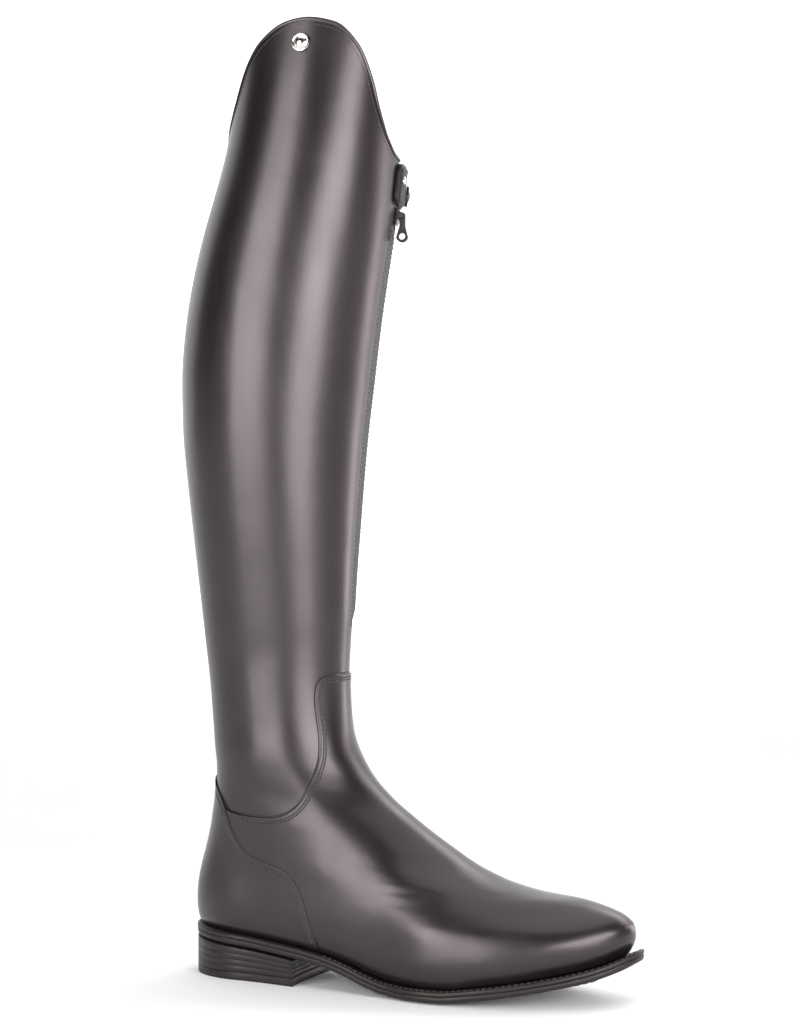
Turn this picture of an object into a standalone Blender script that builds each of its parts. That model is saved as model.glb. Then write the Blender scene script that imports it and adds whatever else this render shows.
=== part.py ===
"""Dress riding boot, right foot, built as separate pieces.

All sizes below are millimetres. Lengths along the foot are stations: they are measured
from the heel's back edge towards the toe. The model's origin lies on the floor at the
middle of the heel, +X points to the toe, +Y to the inner side of the foot and +Z up.
"""

import bisect
import math

import bpy
from mathutils import Matrix, Vector

MM = 0.001

# Driving dimensions
SOLE_LENGTH = 283.0
HEEL_LENGTH = 79.0
HEEL_CENTRE = 39.0
HEEL_TOP_LIFT = 5.0
HEEL_BREAST_BOW = 1.3
EDGE_THICKNESS = 7.6
WELT_THICKNESS = 2.9
WELT_WIDTH = 17.0
UPPER_WALL = 2.2
VAMP_LAYER = 1.3
COUNTER_LAYER = 1.8
GAP = 0.3
SEAM_GAP = 0.4
SEAT_GAP = 0.7
SOCK_GAP = 1.0
TOE_TIP_SHIFT = 6.8
ZIP_LINE = 13.0
ZIP_OPENING = 10.0
ZIP_FOOT = 212.0
TAB_FOOT = 465.5
TAB_HEAD = 486.8
TAB_LINE = 19.5
TAB_LENGTH = 32.0
TAB_THICKNESS = 3.2
TAB_SLACK = 0.15
SNAP_LINE = 25.0
SNAP_HEIGHT = 473.0
SNAP_DIAMETER = 13.0
SNAP_THICKNESS = 2.6
RIVET_LINE = 8.5
RIVET_HEIGHT = 480.0
STUD_TURN = 0.2736
STUD_LEVEL = 555.0
STUD_DIAMETER = 11.0
STUD_HEIGHT = 2.4
SLIDER_HEIGHT = 460.0
SLIDER_WIDTH = 7.6
PIN_OFFSET = 4.2
PIN_DIAMETER = 1.6
PULL_LENGTH = 16.2
PULL_WIDTH = 3.0
PULL_NECK = 6.4
PULL_FOOT_RADIUS = 3.6
PULL_LEAN = -0.1

# Mesh resolution
UPPER_COLUMNS = 40
SOLE_COLUMNS = 52
COLLAR_ROWS = 4


class Table:
    """Rows of named columns, read between its rows along a smooth curve."""

    def __init__(self, columns, rows):
        self.keys = [float(row[0]) for row in rows]
        self.values = {}
        self.slopes = {}
        for index, name in enumerate(columns):
            if index == 0:
                continue
            column = [float(row[index]) for row in rows]
            self.values[name] = column
            self.slopes[name] = self.find_slopes(column)

    def find_slopes(self, column):
        """Slopes that keep a monotone column monotone."""
        keys = self.keys
        steps = []
        for i in range(len(keys) - 1):
            steps.append((column[i + 1] - column[i]) / (keys[i + 1] - keys[i]))
        slopes = [steps[0]]
        for before, after in zip(steps, steps[1:]):
            if before * after <= 0:
                slopes.append(0.0)
            else:
                slopes.append(2.0 * before * after / (before + after))
        slopes.append(steps[-1])
        return slopes

    def read(self, name, key):
        keys = self.keys
        key = min(max(key, keys[0]), keys[-1])
        i = min(max(bisect.bisect_right(keys, key) - 1, 0), len(keys) - 2)
        width = keys[i + 1] - keys[i]
        s = (key - keys[i]) / width
        column = self.values[name]
        slopes = self.slopes[name]
        rise = s * s * (3.0 - 2.0 * s)
        start = s * (1.0 - s) * (1.0 - s) * width * slopes[i]
        end = s * s * (s - 1.0) * width * slopes[i + 1]
        return column[i] * (1.0 - rise) + column[i + 1] * rise + start + end


# Plan of the sole: half-widths of the outer and inner side at each station, before the
# heel and the toe are rounded off
PLAN = Table(
    ("station", "outer", "inner"),
    [
        (0, 28.6, 28.6),
        (39, 28.6, 28.6),
        (79, 33.0, 31.5),
        (113, 37.7, 30.5),
        (141, 42.0, 33.5),
        (170, 47.5, 39.5),
        (198, 45.5, 43.5),
        (232, 43.0, 44.5),
        (283, 40.0, 45.0),
    ],
)
HEEL_ROUNDING = 39.0
TOE_ROUNDING = 85.0
TOE_POWER = 1.5

# Height of the sole's underside: straight heel seat, arch, flat tread and toe spring
UNDERSIDE = Table(
    ("station", "height"),
    [
        (0, 23.0),
        (79, 15.6),
        (97, 12.9),
        (113, 9.1),
        (128, 4.1),
        (141, 1.0),
        (157, 0.0),
        (176, 0.0),
        (198, 2.5),
        (232, 8.0),
        (260, 14.2),
        (275, 19.6),
        (283, 24.0),
    ],
)

# Sections of the upper, one row each, keyed by the height of the section's back point.
# A section runs from its back point to its front point. back_round and front_round say
# over what length its two ends are rounded, front_power how full the front end is.
# leg_share mixes the plan's width, less inset, with the leg's own half-widths outer and
# inner. sag says how far the section dips along with the sole.
SECTIONS = Table(
    (
        "back_height", "back", "front", "front_height", "front_shift", "back_round",
        "front_round", "front_power", "inset", "leg_share", "outer", "inner", "sag",
    ),
    [
        (30.6, 3.8, 270.8, 31.6, 6.8, 38, 80, 1.5, 6.6, 0.00, 29, 29, 1.00),
        (33.5, 2.6, 274.8, 35.0, 6.8, 38, 80, 1.5, 4.6, 0.00, 29, 29, 0.90),
        (37.5, 1.7, 276.9, 39.5, 6.8, 38, 80, 1.5, 3.2, 0.00, 29, 29, 0.80),
        (42, 1.2, 276.5, 45.0, 6.8, 38, 80, 1.5, 2.6, 0.02, 29, 29, 0.66),
        (47, 1.3, 271.8, 50.8, 6.8, 38, 88, 1.35, 2.4, 0.04, 29, 29, 0.50),
        (52, 1.6, 261.0, 55.6, 6.8, 38, 110, 1.2, 2.6, 0.07, 29, 29, 0.34),
        (58, 2.5, 246.0, 58.6, 6.6, 38, 138, 1.2, 2.8, 0.11, 29.3, 29.3, 0.20),
        (64, 3.9, 226.5, 59.5, 6.4, 38, 118, 1.3, 3.0, 0.17, 29.8, 29.8, 0.10),
        (70, 5.7, 206.0, 62.4, 6.2, 38, 115, 1.8, 3.0, 0.25, 30.4, 30.4, 0.03),
        (77, 7.9, 185.5, 69.4, 5.8, 39, 108, 2.0, 3.0, 0.36, 31.2, 31.2, 0.00),
        (85, 10.1, 163.4, 82.2, 5.0, 40, 96, 2.0, 3.0, 0.50, 32.0, 32.0, 0.00),
        (94, 12.2, 143.4, 95.6, 4.0, 41, 80, 2.0, 3.0, 0.66, 32.8, 32.8, 0.00),
        (105, 13.5, 124.6, 110.4, 3.0, 43, 66, 2.0, 3.0, 0.82, 33.6, 33.6, 0.00),
        (118, 14.0, 109.8, 127.0, 2.0, 45, 50, 2.0, 3.0, 0.94, 34.4, 34.4, 0.00),
        (131, 13.6, 102.6, 140.0, 1.0, 44.5, 44.5, 2.0, 3.0, 1.00, 35.0, 35.0, 0.00),
        (145, 12.3, 99.7, 150.4, 0.0, 43.7, 43.7, 2.0, 3.0, 1.00, 35.0, 35.0, 0.00),
        (160, 11.3, 98.3, 162.0, 0.0, 43.5, 43.5, 2.0, 3.0, 1.00, 34.9, 34.9, 0.00),
        (178, 9.8, 97.6, 178.6, 0.0, 43.9, 43.9, 2.0, 3.0, 1.00, 35.3, 35.3, 0.00),
        (198, 7.4, 98.3, 198.0, 0.0, 45.4, 45.4, 2.0, 3.0, 1.00, 36.8, 36.8, 0.00),
        (220, 4.8, 99.8, 220.0, 0.0, 47.5, 47.5, 2.0, 3.0, 1.00, 39.0, 39.0, 0.00),
        (245, 2.0, 101.2, 245.0, 0.0, 49.6, 49.6, 2.0, 3.0, 1.00, 42.0, 42.0, 0.00),
        (270, -0.8, 103.0, 270.0, 0.0, 51.9, 51.9, 2.0, 3.0, 1.00, 45.3, 45.3, 0.00),
        (300, -3.8, 105.3, 300.0, 0.0, 54.5, 54.5, 2.0, 3.0, 1.00, 49.1, 49.1, 0.00),
        (330, -6.4, 108.2, 330.0, 0.0, 57.3, 57.3, 2.0, 3.0, 1.00, 52.4, 52.4, 0.00),
        (360, -6.8, 112.0, 360.0, 0.0, 59.4, 59.4, 2.0, 3.0, 1.00, 54.6, 54.6, 0.00),
        (390, -4.4, 115.8, 390.0, 0.0, 60.1, 60.1, 2.0, 3.0, 1.00, 55.7, 55.7, 0.00),
        (420, 1.0, 120.4, 420.0, 0.0, 59.7, 59.7, 2.0, 3.0, 1.00, 56.0, 56.0, 0.00),
        (445, 7.4, 124.6, 445.0, 0.0, 58.6, 58.6, 2.0, 3.0, 1.00, 55.6, 55.6, 0.00),
        (470, 15.6, 128.2, 470.0, 0.0, 56.3, 56.3, 2.0, 3.0, 1.00, 54.6, 54.6, 0.00),
        (500, 24.6, 131.6, 500.0, 0.0, 53.5, 53.5, 2.0, 3.0, 1.00, 53.2, 53.2, 0.00),
        (535, 30.6, 135.2, 535.0, 0.0, 52.3, 52.3, 2.0, 3.0, 1.00, 51.2, 51.2, 0.00),
        (575, 35.0, 139.0, 575.0, 0.0, 52.0, 52.0, 2.0, 3.0, 1.00, 48.5, 48.5, 0.00),
    ],
)
FOOT_ROWS = [30.6, 33.5, 38, 44, 50, 57, 64, 71, 79, 89, 101, 115, 130, 145]
LEG_ROWS = [160, 178, 198, 225, 258, 295, 335, 378, 418, 445]
OVERLAY_FOOT = 31.5
OVERLAY_ROW = 198
FOREFOOT_INSET = 1.5
FOREFOOT_START = 90.0
FOREFOOT_FULL = 150.0

# Height of the collar round the leg: the turn runs from the back, 0, over the outer side,
# 0.25, and the front, 0.5, to the inner side, 0.75
COLLAR = Table(
    ("turn", "height"),
    [
        (0.000, 497.0),
        (0.040, 501.0),
        (0.080, 509.5),
        (0.115, 523.0),
        (0.150, 543.5),
        (0.186, 556.5),
        (0.243, 566.1),
        (0.277, 567.6),
        (0.328, 564.9),
        (0.373, 553.7),
        (0.410, 534.4),
        (0.433, 518.0),
        (0.465, 501.4),
        (0.500, 492.5),
        (0.560, 488.5),
        (0.700, 487.0),
        (0.850, 488.5),
        (0.930, 491.5),
        (1.000, 497.0),
    ],
)

# Edges of the overlays as seen from the side: station and height of each turning point
COUNTER_EDGE = [
    (10.0, 124.0),
    (20.0, 114.0),
    (29.4, 104.3),
    (37.1, 88.3),
    (43.4, 79.1),
    (50.0, 74.6),
    (60.8, 71.0),
    (70.0, 68.2),
    (78.6, 62.3),
    (85.0, 52.0),
    (89.7, 40.0),
    (94.4, 26.7),
    (99.0, 12.0),
]
VAMP_EDGE = [
    (26.0, 104.2),
    (37.3, 100.4),
    (49.9, 99.1),
    (62.0, 98.9),
    (72.6, 101.1),
    (82.0, 108.0),
    (88.8, 120.8),
    (92.0, 132.5),
    (91.5, 146.4),
    (89.5, 161.1),
    (88.8, 173.0),
    (91.2, 181.8),
    (99.5, 184.2),
]


def smooth_step(value):
    value = min(max(value, 0.0), 1.0)
    return value * value * (3.0 - 2.0 * value)


def rounded(distance, length, power):
    """How wide a section is near one rounded end, from 0 at the tip to 1."""
    if distance >= length:
        return 1.0
    rest = 1.0 - max(distance, 0.0) / length
    return math.sqrt(max(1.0 - rest ** power, 0.0))


def sole_top(station):
    return UNDERSIDE.read("height", station) + EDGE_THICKNESS


# The upper's surface

def surface_point(turn, height):
    """Point of the upper's outer face: turn goes round it, height names the section."""
    section = {name: SECTIONS.read(name, height) for name in SECTIONS.values}
    angle = 2.0 * math.pi * turn
    along = (1.0 - math.cos(angle)) / 2.0
    length = section["front"] - section["back"]
    station = section["back"] + along * length
    width = rounded(along * length, section["back_round"], 2.0)
    width *= rounded((1.0 - along) * length, section["front_round"], section["front_power"])
    side = "outer" if math.sin(angle) >= 0.0 else "inner"
    sign = -1.0 if side == "outer" else 1.0
    forefoot = smooth_step((station - FOREFOOT_START) / (FOREFOOT_FULL - FOREFOOT_START))
    plan = PLAN.read(side, station) - section["inset"] - FOREFOOT_INSET * forefoot
    share = section["leg_share"]
    half = plan * (1.0 - share) + section[side] * share
    middle = section["front_shift"] * smooth_step(along)
    across = middle + (sign * half - middle) * width
    level = height + (section["front_height"] - height) * along
    first = SECTIONS.keys[0]
    straight = first + (SECTIONS.read("front_height", first) - first) * along
    level += section["sag"] * (sole_top(station) + SEAT_GAP - straight)
    return Vector((station, across, level))


def surface_normal(turn, height):
    """Outward direction of the upper's outer face."""
    low = max(height - 0.4, SECTIONS.keys[0])
    high = min(height + 0.4, SECTIONS.keys[-1])
    around = surface_point(turn + 0.004, height) - surface_point(turn - 0.004, height)
    upward = surface_point(turn, high) - surface_point(turn, low)
    normal = around.cross(upward)
    if height <= SECTIONS.keys[0]:
        normal.z = 0.0
    return normal.normalized()


def offset_point(turn, height, offset):
    return surface_point(turn, height) + surface_normal(turn, height) * offset


def collar_height(turn):
    return COLLAR.read("height", turn % 1.0)


def leg_turn(across, height):
    """Turn at which the front of the leg lies a given way to the inner side."""
    half = SECTIONS.read("inner", height)
    return 0.5 + math.asin(across / half) / (2.0 * math.pi)


# Mesh helpers

def add_material(name, colour, roughness, metallic=0.0):
    material = bpy.data.materials.new(name)
    material.use_nodes = True
    shader = material.node_tree.nodes["Principled BSDF"]
    shader.inputs["Base Color"].default_value = (*colour, 1.0)
    shader.inputs["Roughness"].default_value = roughness
    shader.inputs["Metallic"].default_value = metallic
    return material


def place(point):
    """Station, side and height in millimetres to the model's metres."""
    return Vector((point[0] - HEEL_CENTRE, point[1], point[2])) * MM


def add_object(name, points, faces, material, cutter=False):
    mesh = bpy.data.meshes.new(name)
    mesh.from_pydata([place(point) for point in points], [], faces)
    mesh.validate()
    piece = bpy.data.objects.new(name, mesh)
    bpy.context.scene.collection.objects.link(piece)
    if cutter:
        piece.hide_render = True
        piece.display_type = "WIRE"
    else:
        mesh.materials.append(material)
        shade_smooth(mesh)
    return piece


def shade_smooth(mesh):
    mesh.shade_smooth()
    mesh.set_sharp_from_angle(angle=math.radians(40))


def add_boolean(piece, cutter, operation):
    modifier = piece.modifiers.new(operation.title() + " " + cutter.name, "BOOLEAN")
    modifier.operation = operation
    modifier.solver = "EXACT"
    modifier.object = cutter


def ring_faces(lower, upper, count):
    """Quads between two closed loops, facing outwards when the loops run anticlockwise."""
    faces = []
    for i in range(count):
        after = (i + 1) % count
        faces.append((lower + i, lower + after, upper + after, upper + i))
    return faces


def stack_loops(name, loops, caps, material):
    """Closed solid from loops, each joined to the one after it.

    With caps the first and the last loop are closed by faces. Without them the last loop
    is joined to the first one.
    """
    count = len(loops[0])
    points = [point for loop in loops for point in loop]
    faces = []
    for i in range(len(loops) - 1):
        faces += ring_faces(i * count, (i + 1) * count, count)
    top = (len(loops) - 1) * count
    if caps:
        faces += cap_faces(0, count, False)
        faces += cap_faces(top, count, True)
    else:
        faces += ring_faces(top, 0, count)
    return add_object(name, points, faces, material)


def make_shell(name, outer, inner, material):
    """Closed wall between two grids of the same rows, open along its middle.

    Both faces are split along the same diagonals, so that two shells made from one
    surface stay parallel.
    """
    count = len(outer[0])
    rows = len(outer)
    points = [point for row in outer + inner for point in row]
    start = rows * count
    faces = ring_faces(start, 0, count)
    faces += ring_faces((rows - 1) * count, start + (rows - 1) * count, count)
    for row in range(rows - 1):
        for i in range(count):
            after = (i + 1) % count
            low = row * count
            high = low + count
            faces.append((low + i, low + after, high + after))
            faces.append((low + i, high + after, high + i))
            low += start
            high += start
            faces.append((low + i, high + after, low + after))
            faces.append((low + i, high + i, high + after))
    return add_object(name, points, faces, material)


def cap_faces(start, count, upward):
    """Strips across a loop whose points pair up, first point at the back."""
    faces = []
    half = count // 2
    for i in range(half):
        outer = [start + i, start + i + 1]
        inner = [start + (count - i - 1) % count, start + (count - i) % count]
        corners = []
        for corner in outer + inner:
            if corner not in corners:
                corners.append(corner)
        if not upward:
            corners.reverse()
        faces.append(tuple(corners))
    return faces


# Sole pieces

def sole_outline(inset):
    """Plan of the sole as a loop from the back, over the outer side, to the toe."""
    loop = []
    for i in range(SOLE_COLUMNS):
        angle = 2.0 * math.pi * i / SOLE_COLUMNS
        along = (1.0 - math.cos(angle)) / 2.0
        station = along * SOLE_LENGTH
        width = rounded(station, HEEL_ROUNDING, 2.0)
        width *= rounded(SOLE_LENGTH - station, TOE_ROUNDING, TOE_POWER)
        side = "outer" if math.sin(angle) >= 0.0 else "inner"
        sign = -1.0 if side == "outer" else 1.0
        middle = TOE_TIP_SHIFT * smooth_step(along)
        across = middle + (sign * PLAN.read(side, station) - middle) * width
        loop.append(Vector((station, across)))
    return inset_loop(loop, inset)


def inset_loop(loop, inset):
    """Moves each point of an anticlockwise loop inwards."""
    count = len(loop)
    moved = []
    for i, point in enumerate(loop):
        along = loop[(i + 1) % count] - loop[i - 1]
        inward = Vector((-along.y, along.x)).normalized()
        moved.append(point + inward * inset)
    return moved


def sole_loop(inset, rise):
    """Loop of the sole's plan that lies a given way above its underside."""
    loop = []
    for point in sole_outline(inset):
        height = UNDERSIDE.read("height", min(max(point.x, 0.0), SOLE_LENGTH)) + rise
        loop.append((point.x, point.y, height))
    return loop


def make_outsole(material):
    top = EDGE_THICKNESS - WELT_THICKNESS - GAP
    loops = [
        sole_loop(2.0, 0.0),
        sole_loop(0.7, 0.7),
        sole_loop(0.2, 2.0),
        sole_loop(0.4, top),
    ]
    return stack_loops("outsole", loops, True, material)


def make_welt(material):
    low = EDGE_THICKNESS - WELT_THICKNESS
    loops = [
        sole_loop(WELT_WIDTH, low),
        sole_loop(0.3, low),
        sole_loop(0.0, low + 1.4),
        sole_loop(0.5, EDGE_THICKNESS),
        sole_loop(WELT_WIDTH, EDGE_THICKNESS),
    ]
    return stack_loops("welt", loops, False, material)


def make_insole(material):
    """Board inside the welt with a sock that reaches to the upper's inner wall."""
    seat = EDGE_THICKNESS + SEAT_GAP + GAP
    edge = WELT_WIDTH + SEAT_GAP
    loops = [
        sole_loop(edge, EDGE_THICKNESS - WELT_THICKNESS + SEAT_GAP),
        sole_loop(edge, seat),
        sock_loop(SOCK_GAP, seat),
        sock_loop(SOCK_GAP, seat + 1.2),
        sock_loop(SOCK_GAP + 0.8, seat + 2.0),
    ]
    return stack_loops("insole", loops, True, material)


def sock_loop(gap, rise):
    """Loop inside the upper's lowest section, at stations close to the sole's own."""
    lowest = SECTIONS.keys[0]
    back = SECTIONS.read("back", lowest)
    front = SECTIONS.read("front", lowest)
    loop = []
    for i in range(SOLE_COLUMNS):
        turn = i / SOLE_COLUMNS
        along = (1.0 - math.cos(2.0 * math.pi * turn)) / 2.0
        station = along * SOLE_LENGTH
        station += back * (1.0 - along) ** 4 - (SOLE_LENGTH - front) * along ** 4
        share = min(max((station - back) / (front - back), 0.0), 1.0)
        around = math.acos(1.0 - 2.0 * share) / (2.0 * math.pi)
        if turn > 0.5:
            around = 1.0 - around
        point = offset_point(around, lowest, -UPPER_WALL - gap)
        height = UNDERSIDE.read("height", point.x) + rise
        loop.append((point.x, point.y, height))
    return loop


def heel_loop(inset, height):
    """D-shaped loop of the heel: round back, sides and slightly hollow breast."""
    side_count = 14
    bow_count = 4
    outer = []
    inner = []
    for i in range(side_count + 1):
        station = HEEL_LENGTH * (1.0 - math.cos(math.pi / 2.0 * i / side_count))
        width = rounded(station, HEEL_ROUNDING, 2.0)
        outer.append(Vector((station, -PLAN.read("outer", station) * width)))
        inner.append(Vector((station, PLAN.read("inner", station) * width)))
    breast = []
    for i in range(1, bow_count):
        share = i / bow_count
        bow = HEEL_BREAST_BOW * 4.0 * share * (1.0 - share)
        across = outer[-1].y + (inner[-1].y - outer[-1].y) * share
        breast.append(Vector((HEEL_LENGTH - bow, across)))
    loop = outer + breast + inner[:0:-1]
    moved = inset_loop(loop, inset)
    if callable(height):
        return [(point.x, point.y, height(point.x)) for point in moved]
    return [(point.x, point.y, height) for point in moved]


def make_heel_piece(name, loops, material):
    """Solid heel piece from stacked loops with one flat face at each end."""
    count = len(loops[0])
    points = [point for loop in loops for point in loop]
    faces = []
    for i in range(len(loops) - 1):
        faces += ring_faces(i * count, (i + 1) * count, count)
    top = (len(loops) - 1) * count
    faces.append(tuple(range(count - 1, -1, -1)))
    faces.append(tuple(range(top, top + count)))
    return add_object(name, points, faces, material)


def make_heel_top_lift(material):
    loops = [
        heel_loop(1.0, 0.0),
        heel_loop(0.5, 0.8),
        heel_loop(0.3, HEEL_TOP_LIFT - GAP),
    ]
    return make_heel_piece("heel_top_lift", loops, material)


def make_heel_block(material):
    def under_sole(station):
        return UNDERSIDE.read("height", max(station, 0.0)) - GAP

    loops = [heel_loop(0.4, HEEL_TOP_LIFT), heel_loop(0.4, under_sole)]
    return make_heel_piece("heel_block", loops, material)


# Upper and its overlays

def overlay_grid(offset):
    """Rows of an overlay, from just above the sole to just above the ankle."""
    heights = [OVERLAY_FOOT] + FOOT_ROWS[1:] + [row for row in LEG_ROWS if row <= OVERLAY_ROW]
    return section_rows(heights, offset)


def section_rows(heights, offset):
    """Rows of points over the upper's face, each a closed loop of columns."""
    turns = [i / UPPER_COLUMNS for i in range(UPPER_COLUMNS)]
    return [[offset_point(turn, height, offset) for turn in turns] for height in heights]


def upper_grid(offset):
    """Rows of the whole upper: level sections first, then rows that rise to the collar."""
    turns = [i / UPPER_COLUMNS for i in range(UPPER_COLUMNS)]
    rows = section_rows(FOOT_ROWS + LEG_ROWS, offset)
    start = LEG_ROWS[-1]
    for step in range(1, COLLAR_ROWS + 1):
        row = []
        for turn in turns:
            height = start + (collar_height(turn) - start) * step / COLLAR_ROWS
            row.append(offset_point(turn, height, offset))
        rows.append(row)
    return rows


def surface_strip(name, heights, middle, half, steps, low, high, material, cutter=False):
    """Strip of the leg's face between two offsets, closed on all sides.

    middle is the strip's line, a way to the inner side of the front, and steps the
    number of facets across it.
    """
    loops = []
    for height in heights:
        lower = []
        upper = []
        for across in even_steps(middle - half, middle + half, steps):
            turn = leg_turn(across, height)
            lower.append(offset_point(turn, height, low))
            upper.append(offset_point(turn, height, high))
        loops.append(upper + lower[::-1])
    count = len(loops[0])
    points = [point for loop in loops for point in loop]
    faces = []
    for i in range(len(loops) - 1):
        faces += ring_faces(i * count, (i + 1) * count, count)
    top = (len(loops) - 1) * count
    for start, upward in ((0, False), (top, True)):
        for i in range(steps):
            quad = (start + i, start + i + 1, start + count - i - 2, start + count - i - 1)
            faces.append(quad if upward else quad[::-1])
    return add_object(name, points, faces, material, cutter)


def even_steps(first, last, count):
    return [first + (last - first) * i / count for i in range(count + 1)]


def make_zip_cutter():
    heights = even_steps(ZIP_FOOT, 520.0, 14)
    return surface_strip(
        "zip_cutter", heights, ZIP_LINE, ZIP_OPENING / 2.0, 3, -6.0, 8.0, None, cutter=True
    )


def make_upper(material, zip_cutter):
    upper = make_shell("upper", upper_grid(0.0), upper_grid(-UPPER_WALL), material)
    add_boolean(upper, zip_cutter, "DIFFERENCE")
    return upper


def smooth_path(corners, steps):
    """Points along a curve through the corners."""
    path = []
    last = len(corners) - 1
    for i in range(last):
        before = corners[max(i - 1, 0)]
        here = corners[i]
        there = corners[i + 1]
        after = corners[min(i + 2, last)]
        for step in range(steps):
            s = step / steps
            point = []
            for axis in range(2):
                start = (there[axis] - before[axis]) / 2.0
                end = (after[axis] - here[axis]) / 2.0
                rise = s * s * (3.0 - 2.0 * s)
                value = here[axis] * (1.0 - rise) + there[axis] * rise
                value += s * (1.0 - s) * (1.0 - s) * start - s * s * (1.0 - s) * end
                point.append(value)
            path.append(tuple(point))
    path.append(tuple(corners[-1]))
    return path


def make_side_cutter(name, outline):
    """Prism across the whole boot with an outline seen from the side."""
    reach = 90.0
    count = len(outline)
    points = [(x, -reach, z) for x, z in outline] + [(x, reach, z) for x, z in outline]
    area = 0.0
    for i, (x, z) in enumerate(outline):
        after = outline[(i + 1) % count]
        area += x * after[1] - after[0] * z
    near = list(range(count))
    far = list(range(count, 2 * count))
    faces = []
    for i in range(count):
        after = (i + 1) % count
        faces.append((near[after], near[i], far[i], far[after]))
    faces.append(tuple(near))
    faces.append(tuple(far[::-1]))
    if area < 0.0:
        faces = [face[::-1] for face in faces]
    return add_object(name, points, faces, None, cutter=True)


def make_overlay(name, layer, outline, material):
    overlay = make_shell(name, overlay_grid(layer), overlay_grid(GAP), material)
    add_boolean(overlay, make_side_cutter(name + "_cutter", outline), "INTERSECT")
    return overlay


def make_counter(material):
    edge = smooth_path(COUNTER_EDGE, 3)
    outline = [(-20.0, COUNTER_EDGE[0][1])] + edge + [(COUNTER_EDGE[-1][0], 0.0), (-20.0, 0.0)]
    return make_overlay("counter", COUNTER_LAYER, outline, material)


def make_vamp(material):
    """Foot overlay: its edge starts just in front of the counter's."""
    reach = 300.0
    peak = VAMP_EDGE[-1][1]
    counter = [(x + SEAM_GAP, z) for x, z in smooth_path(COUNTER_EDGE, 3)]
    behind = [point for point in counter if point[1] < VAMP_EDGE[0][1]]
    edge = [point for point in smooth_path(VAMP_EDGE, 3) if point[0] > behind[0][0]]
    outline = edge + [(reach, peak), (reach, 0.0), (behind[-1][0], 0.0)] + behind[::-1]
    return make_overlay("vamp", VAMP_LAYER, outline, material)


def make_collar_binding(material, zip_cutter):
    """Folded edge that sits on the collar's rim."""
    profile = [(-UPPER_WALL, GAP), (0.5, GAP), (0.7, 1.3), (0.1, 2.3), (-1.1, 2.6), (-2.2, 2.0)]
    loops = [[] for _ in profile]
    for i in range(UPPER_COLUMNS):
        turn = i / UPPER_COLUMNS
        height = collar_height(turn)
        here = surface_point(turn, height)
        normal = surface_normal(turn, height)
        ahead = surface_point(turn + 0.004, collar_height(turn + 0.004))
        behind = surface_point(turn - 0.004, collar_height(turn - 0.004))
        upward = normal.cross(ahead - behind).normalized()
        for loop, (out, rise) in zip(loops, profile):
            loop.append(here + normal * out + upward * rise)
    binding = stack_loops("collar_binding", loops, False, material)
    add_boolean(binding, zip_cutter, "DIFFERENCE")
    return binding


# Zip, tab and metal fittings

def make_zip_tape(material):
    heights = even_steps(ZIP_FOOT + GAP, TAB_FOOT + 8.0, 14)
    half = ZIP_OPENING / 2.0 - GAP
    return surface_strip("zip_tape", heights, ZIP_LINE, half, 3, -1.9, -0.7, material)


def face_matrix(turn, height, offset):
    """Frame on the upper's face: X to the side, Y up the face and Z outwards."""
    normal = surface_normal(turn, height)
    upward = surface_point(turn, height + 1.0) - surface_point(turn, height - 1.0)
    upward = (upward - normal * upward.dot(normal)).normalized()
    sideways = upward.cross(normal)
    matrix = Matrix((sideways, upward, normal)).transposed().to_4x4()
    matrix.translation = offset_point(turn, height, offset)
    return matrix


def add_turned(name, profile, segments, matrix, material):
    """Turned piece on the Z axis of a frame, from a profile of radius and height."""
    points = []
    for radius, rise in profile:
        for i in range(segments):
            angle = 2.0 * math.pi * i / segments
            local = Vector((radius * math.cos(angle), radius * math.sin(angle), rise))
            points.append(matrix @ local)
    faces = []
    for i in range(len(profile) - 1):
        faces += ring_faces(i * segments, (i + 1) * segments, segments)
    top = (len(profile) - 1) * segments
    faces.append(tuple(range(segments - 1, -1, -1)))
    faces.append(tuple(range(top, top + segments)))
    return add_object(name, points, faces, material)


def add_plate(name, outline, low, high, matrix, material, cutter=False):
    """Plate in a frame: outline in Y and Z, thickness along X."""
    count = len(outline)
    points = [matrix @ Vector((low, y, z)) for y, z in outline]
    points += [matrix @ Vector((high, y, z)) for y, z in outline]
    faces = ring_faces(0, count, count)
    faces.append(tuple(range(count - 1, -1, -1)))
    faces.append(tuple(range(count, 2 * count)))
    return add_object(name, points, faces, material, cutter)


def arc(middle, radius, first, last, steps):
    """Points on an arc, angles in degrees."""
    points = []
    for i in range(steps + 1):
        angle = math.radians(first + (last - first) * i / steps)
        x = middle[0] + radius * math.cos(angle)
        points.append((x, middle[1] + radius * math.sin(angle)))
    return points


def dome_profile(diameter, height, groove):
    """Flat foot, short wall, rim with a groove inside it, and a rounded middle."""
    radius = diameter / 2.0
    wall = height * 0.4
    inner = radius * 0.72
    profile = [(radius - 0.2, 0.0), (radius, 0.3), (radius, wall), (radius * 0.9, wall + 0.3)]
    profile.append((inner, wall + 0.3 - groove))
    for share in (0.35, 0.65, 0.85):
        angle = math.pi / 2.0 * share
        low = wall + 0.3 - groove
        profile.append((inner * math.cos(angle), low + (height - low) * math.sin(angle)))
    return profile


def make_snap_tab(material):
    heights = even_steps(TAB_FOOT, TAB_HEAD, 4)
    low = GAP + TAB_SLACK
    return surface_strip(
        "snap_tab", heights, TAB_LINE, TAB_LENGTH / 2.0, 7, low, low + TAB_THICKNESS, material
    )


def make_snap_cap(material):
    turn = leg_turn(SNAP_LINE, SNAP_HEIGHT)
    matrix = face_matrix(turn, SNAP_HEIGHT, 2.0 * GAP + TAB_SLACK + TAB_THICKNESS)
    profile = dome_profile(SNAP_DIAMETER, SNAP_THICKNESS, 0.0)
    return add_turned("snap_cap", profile, 18, matrix, material)


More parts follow.
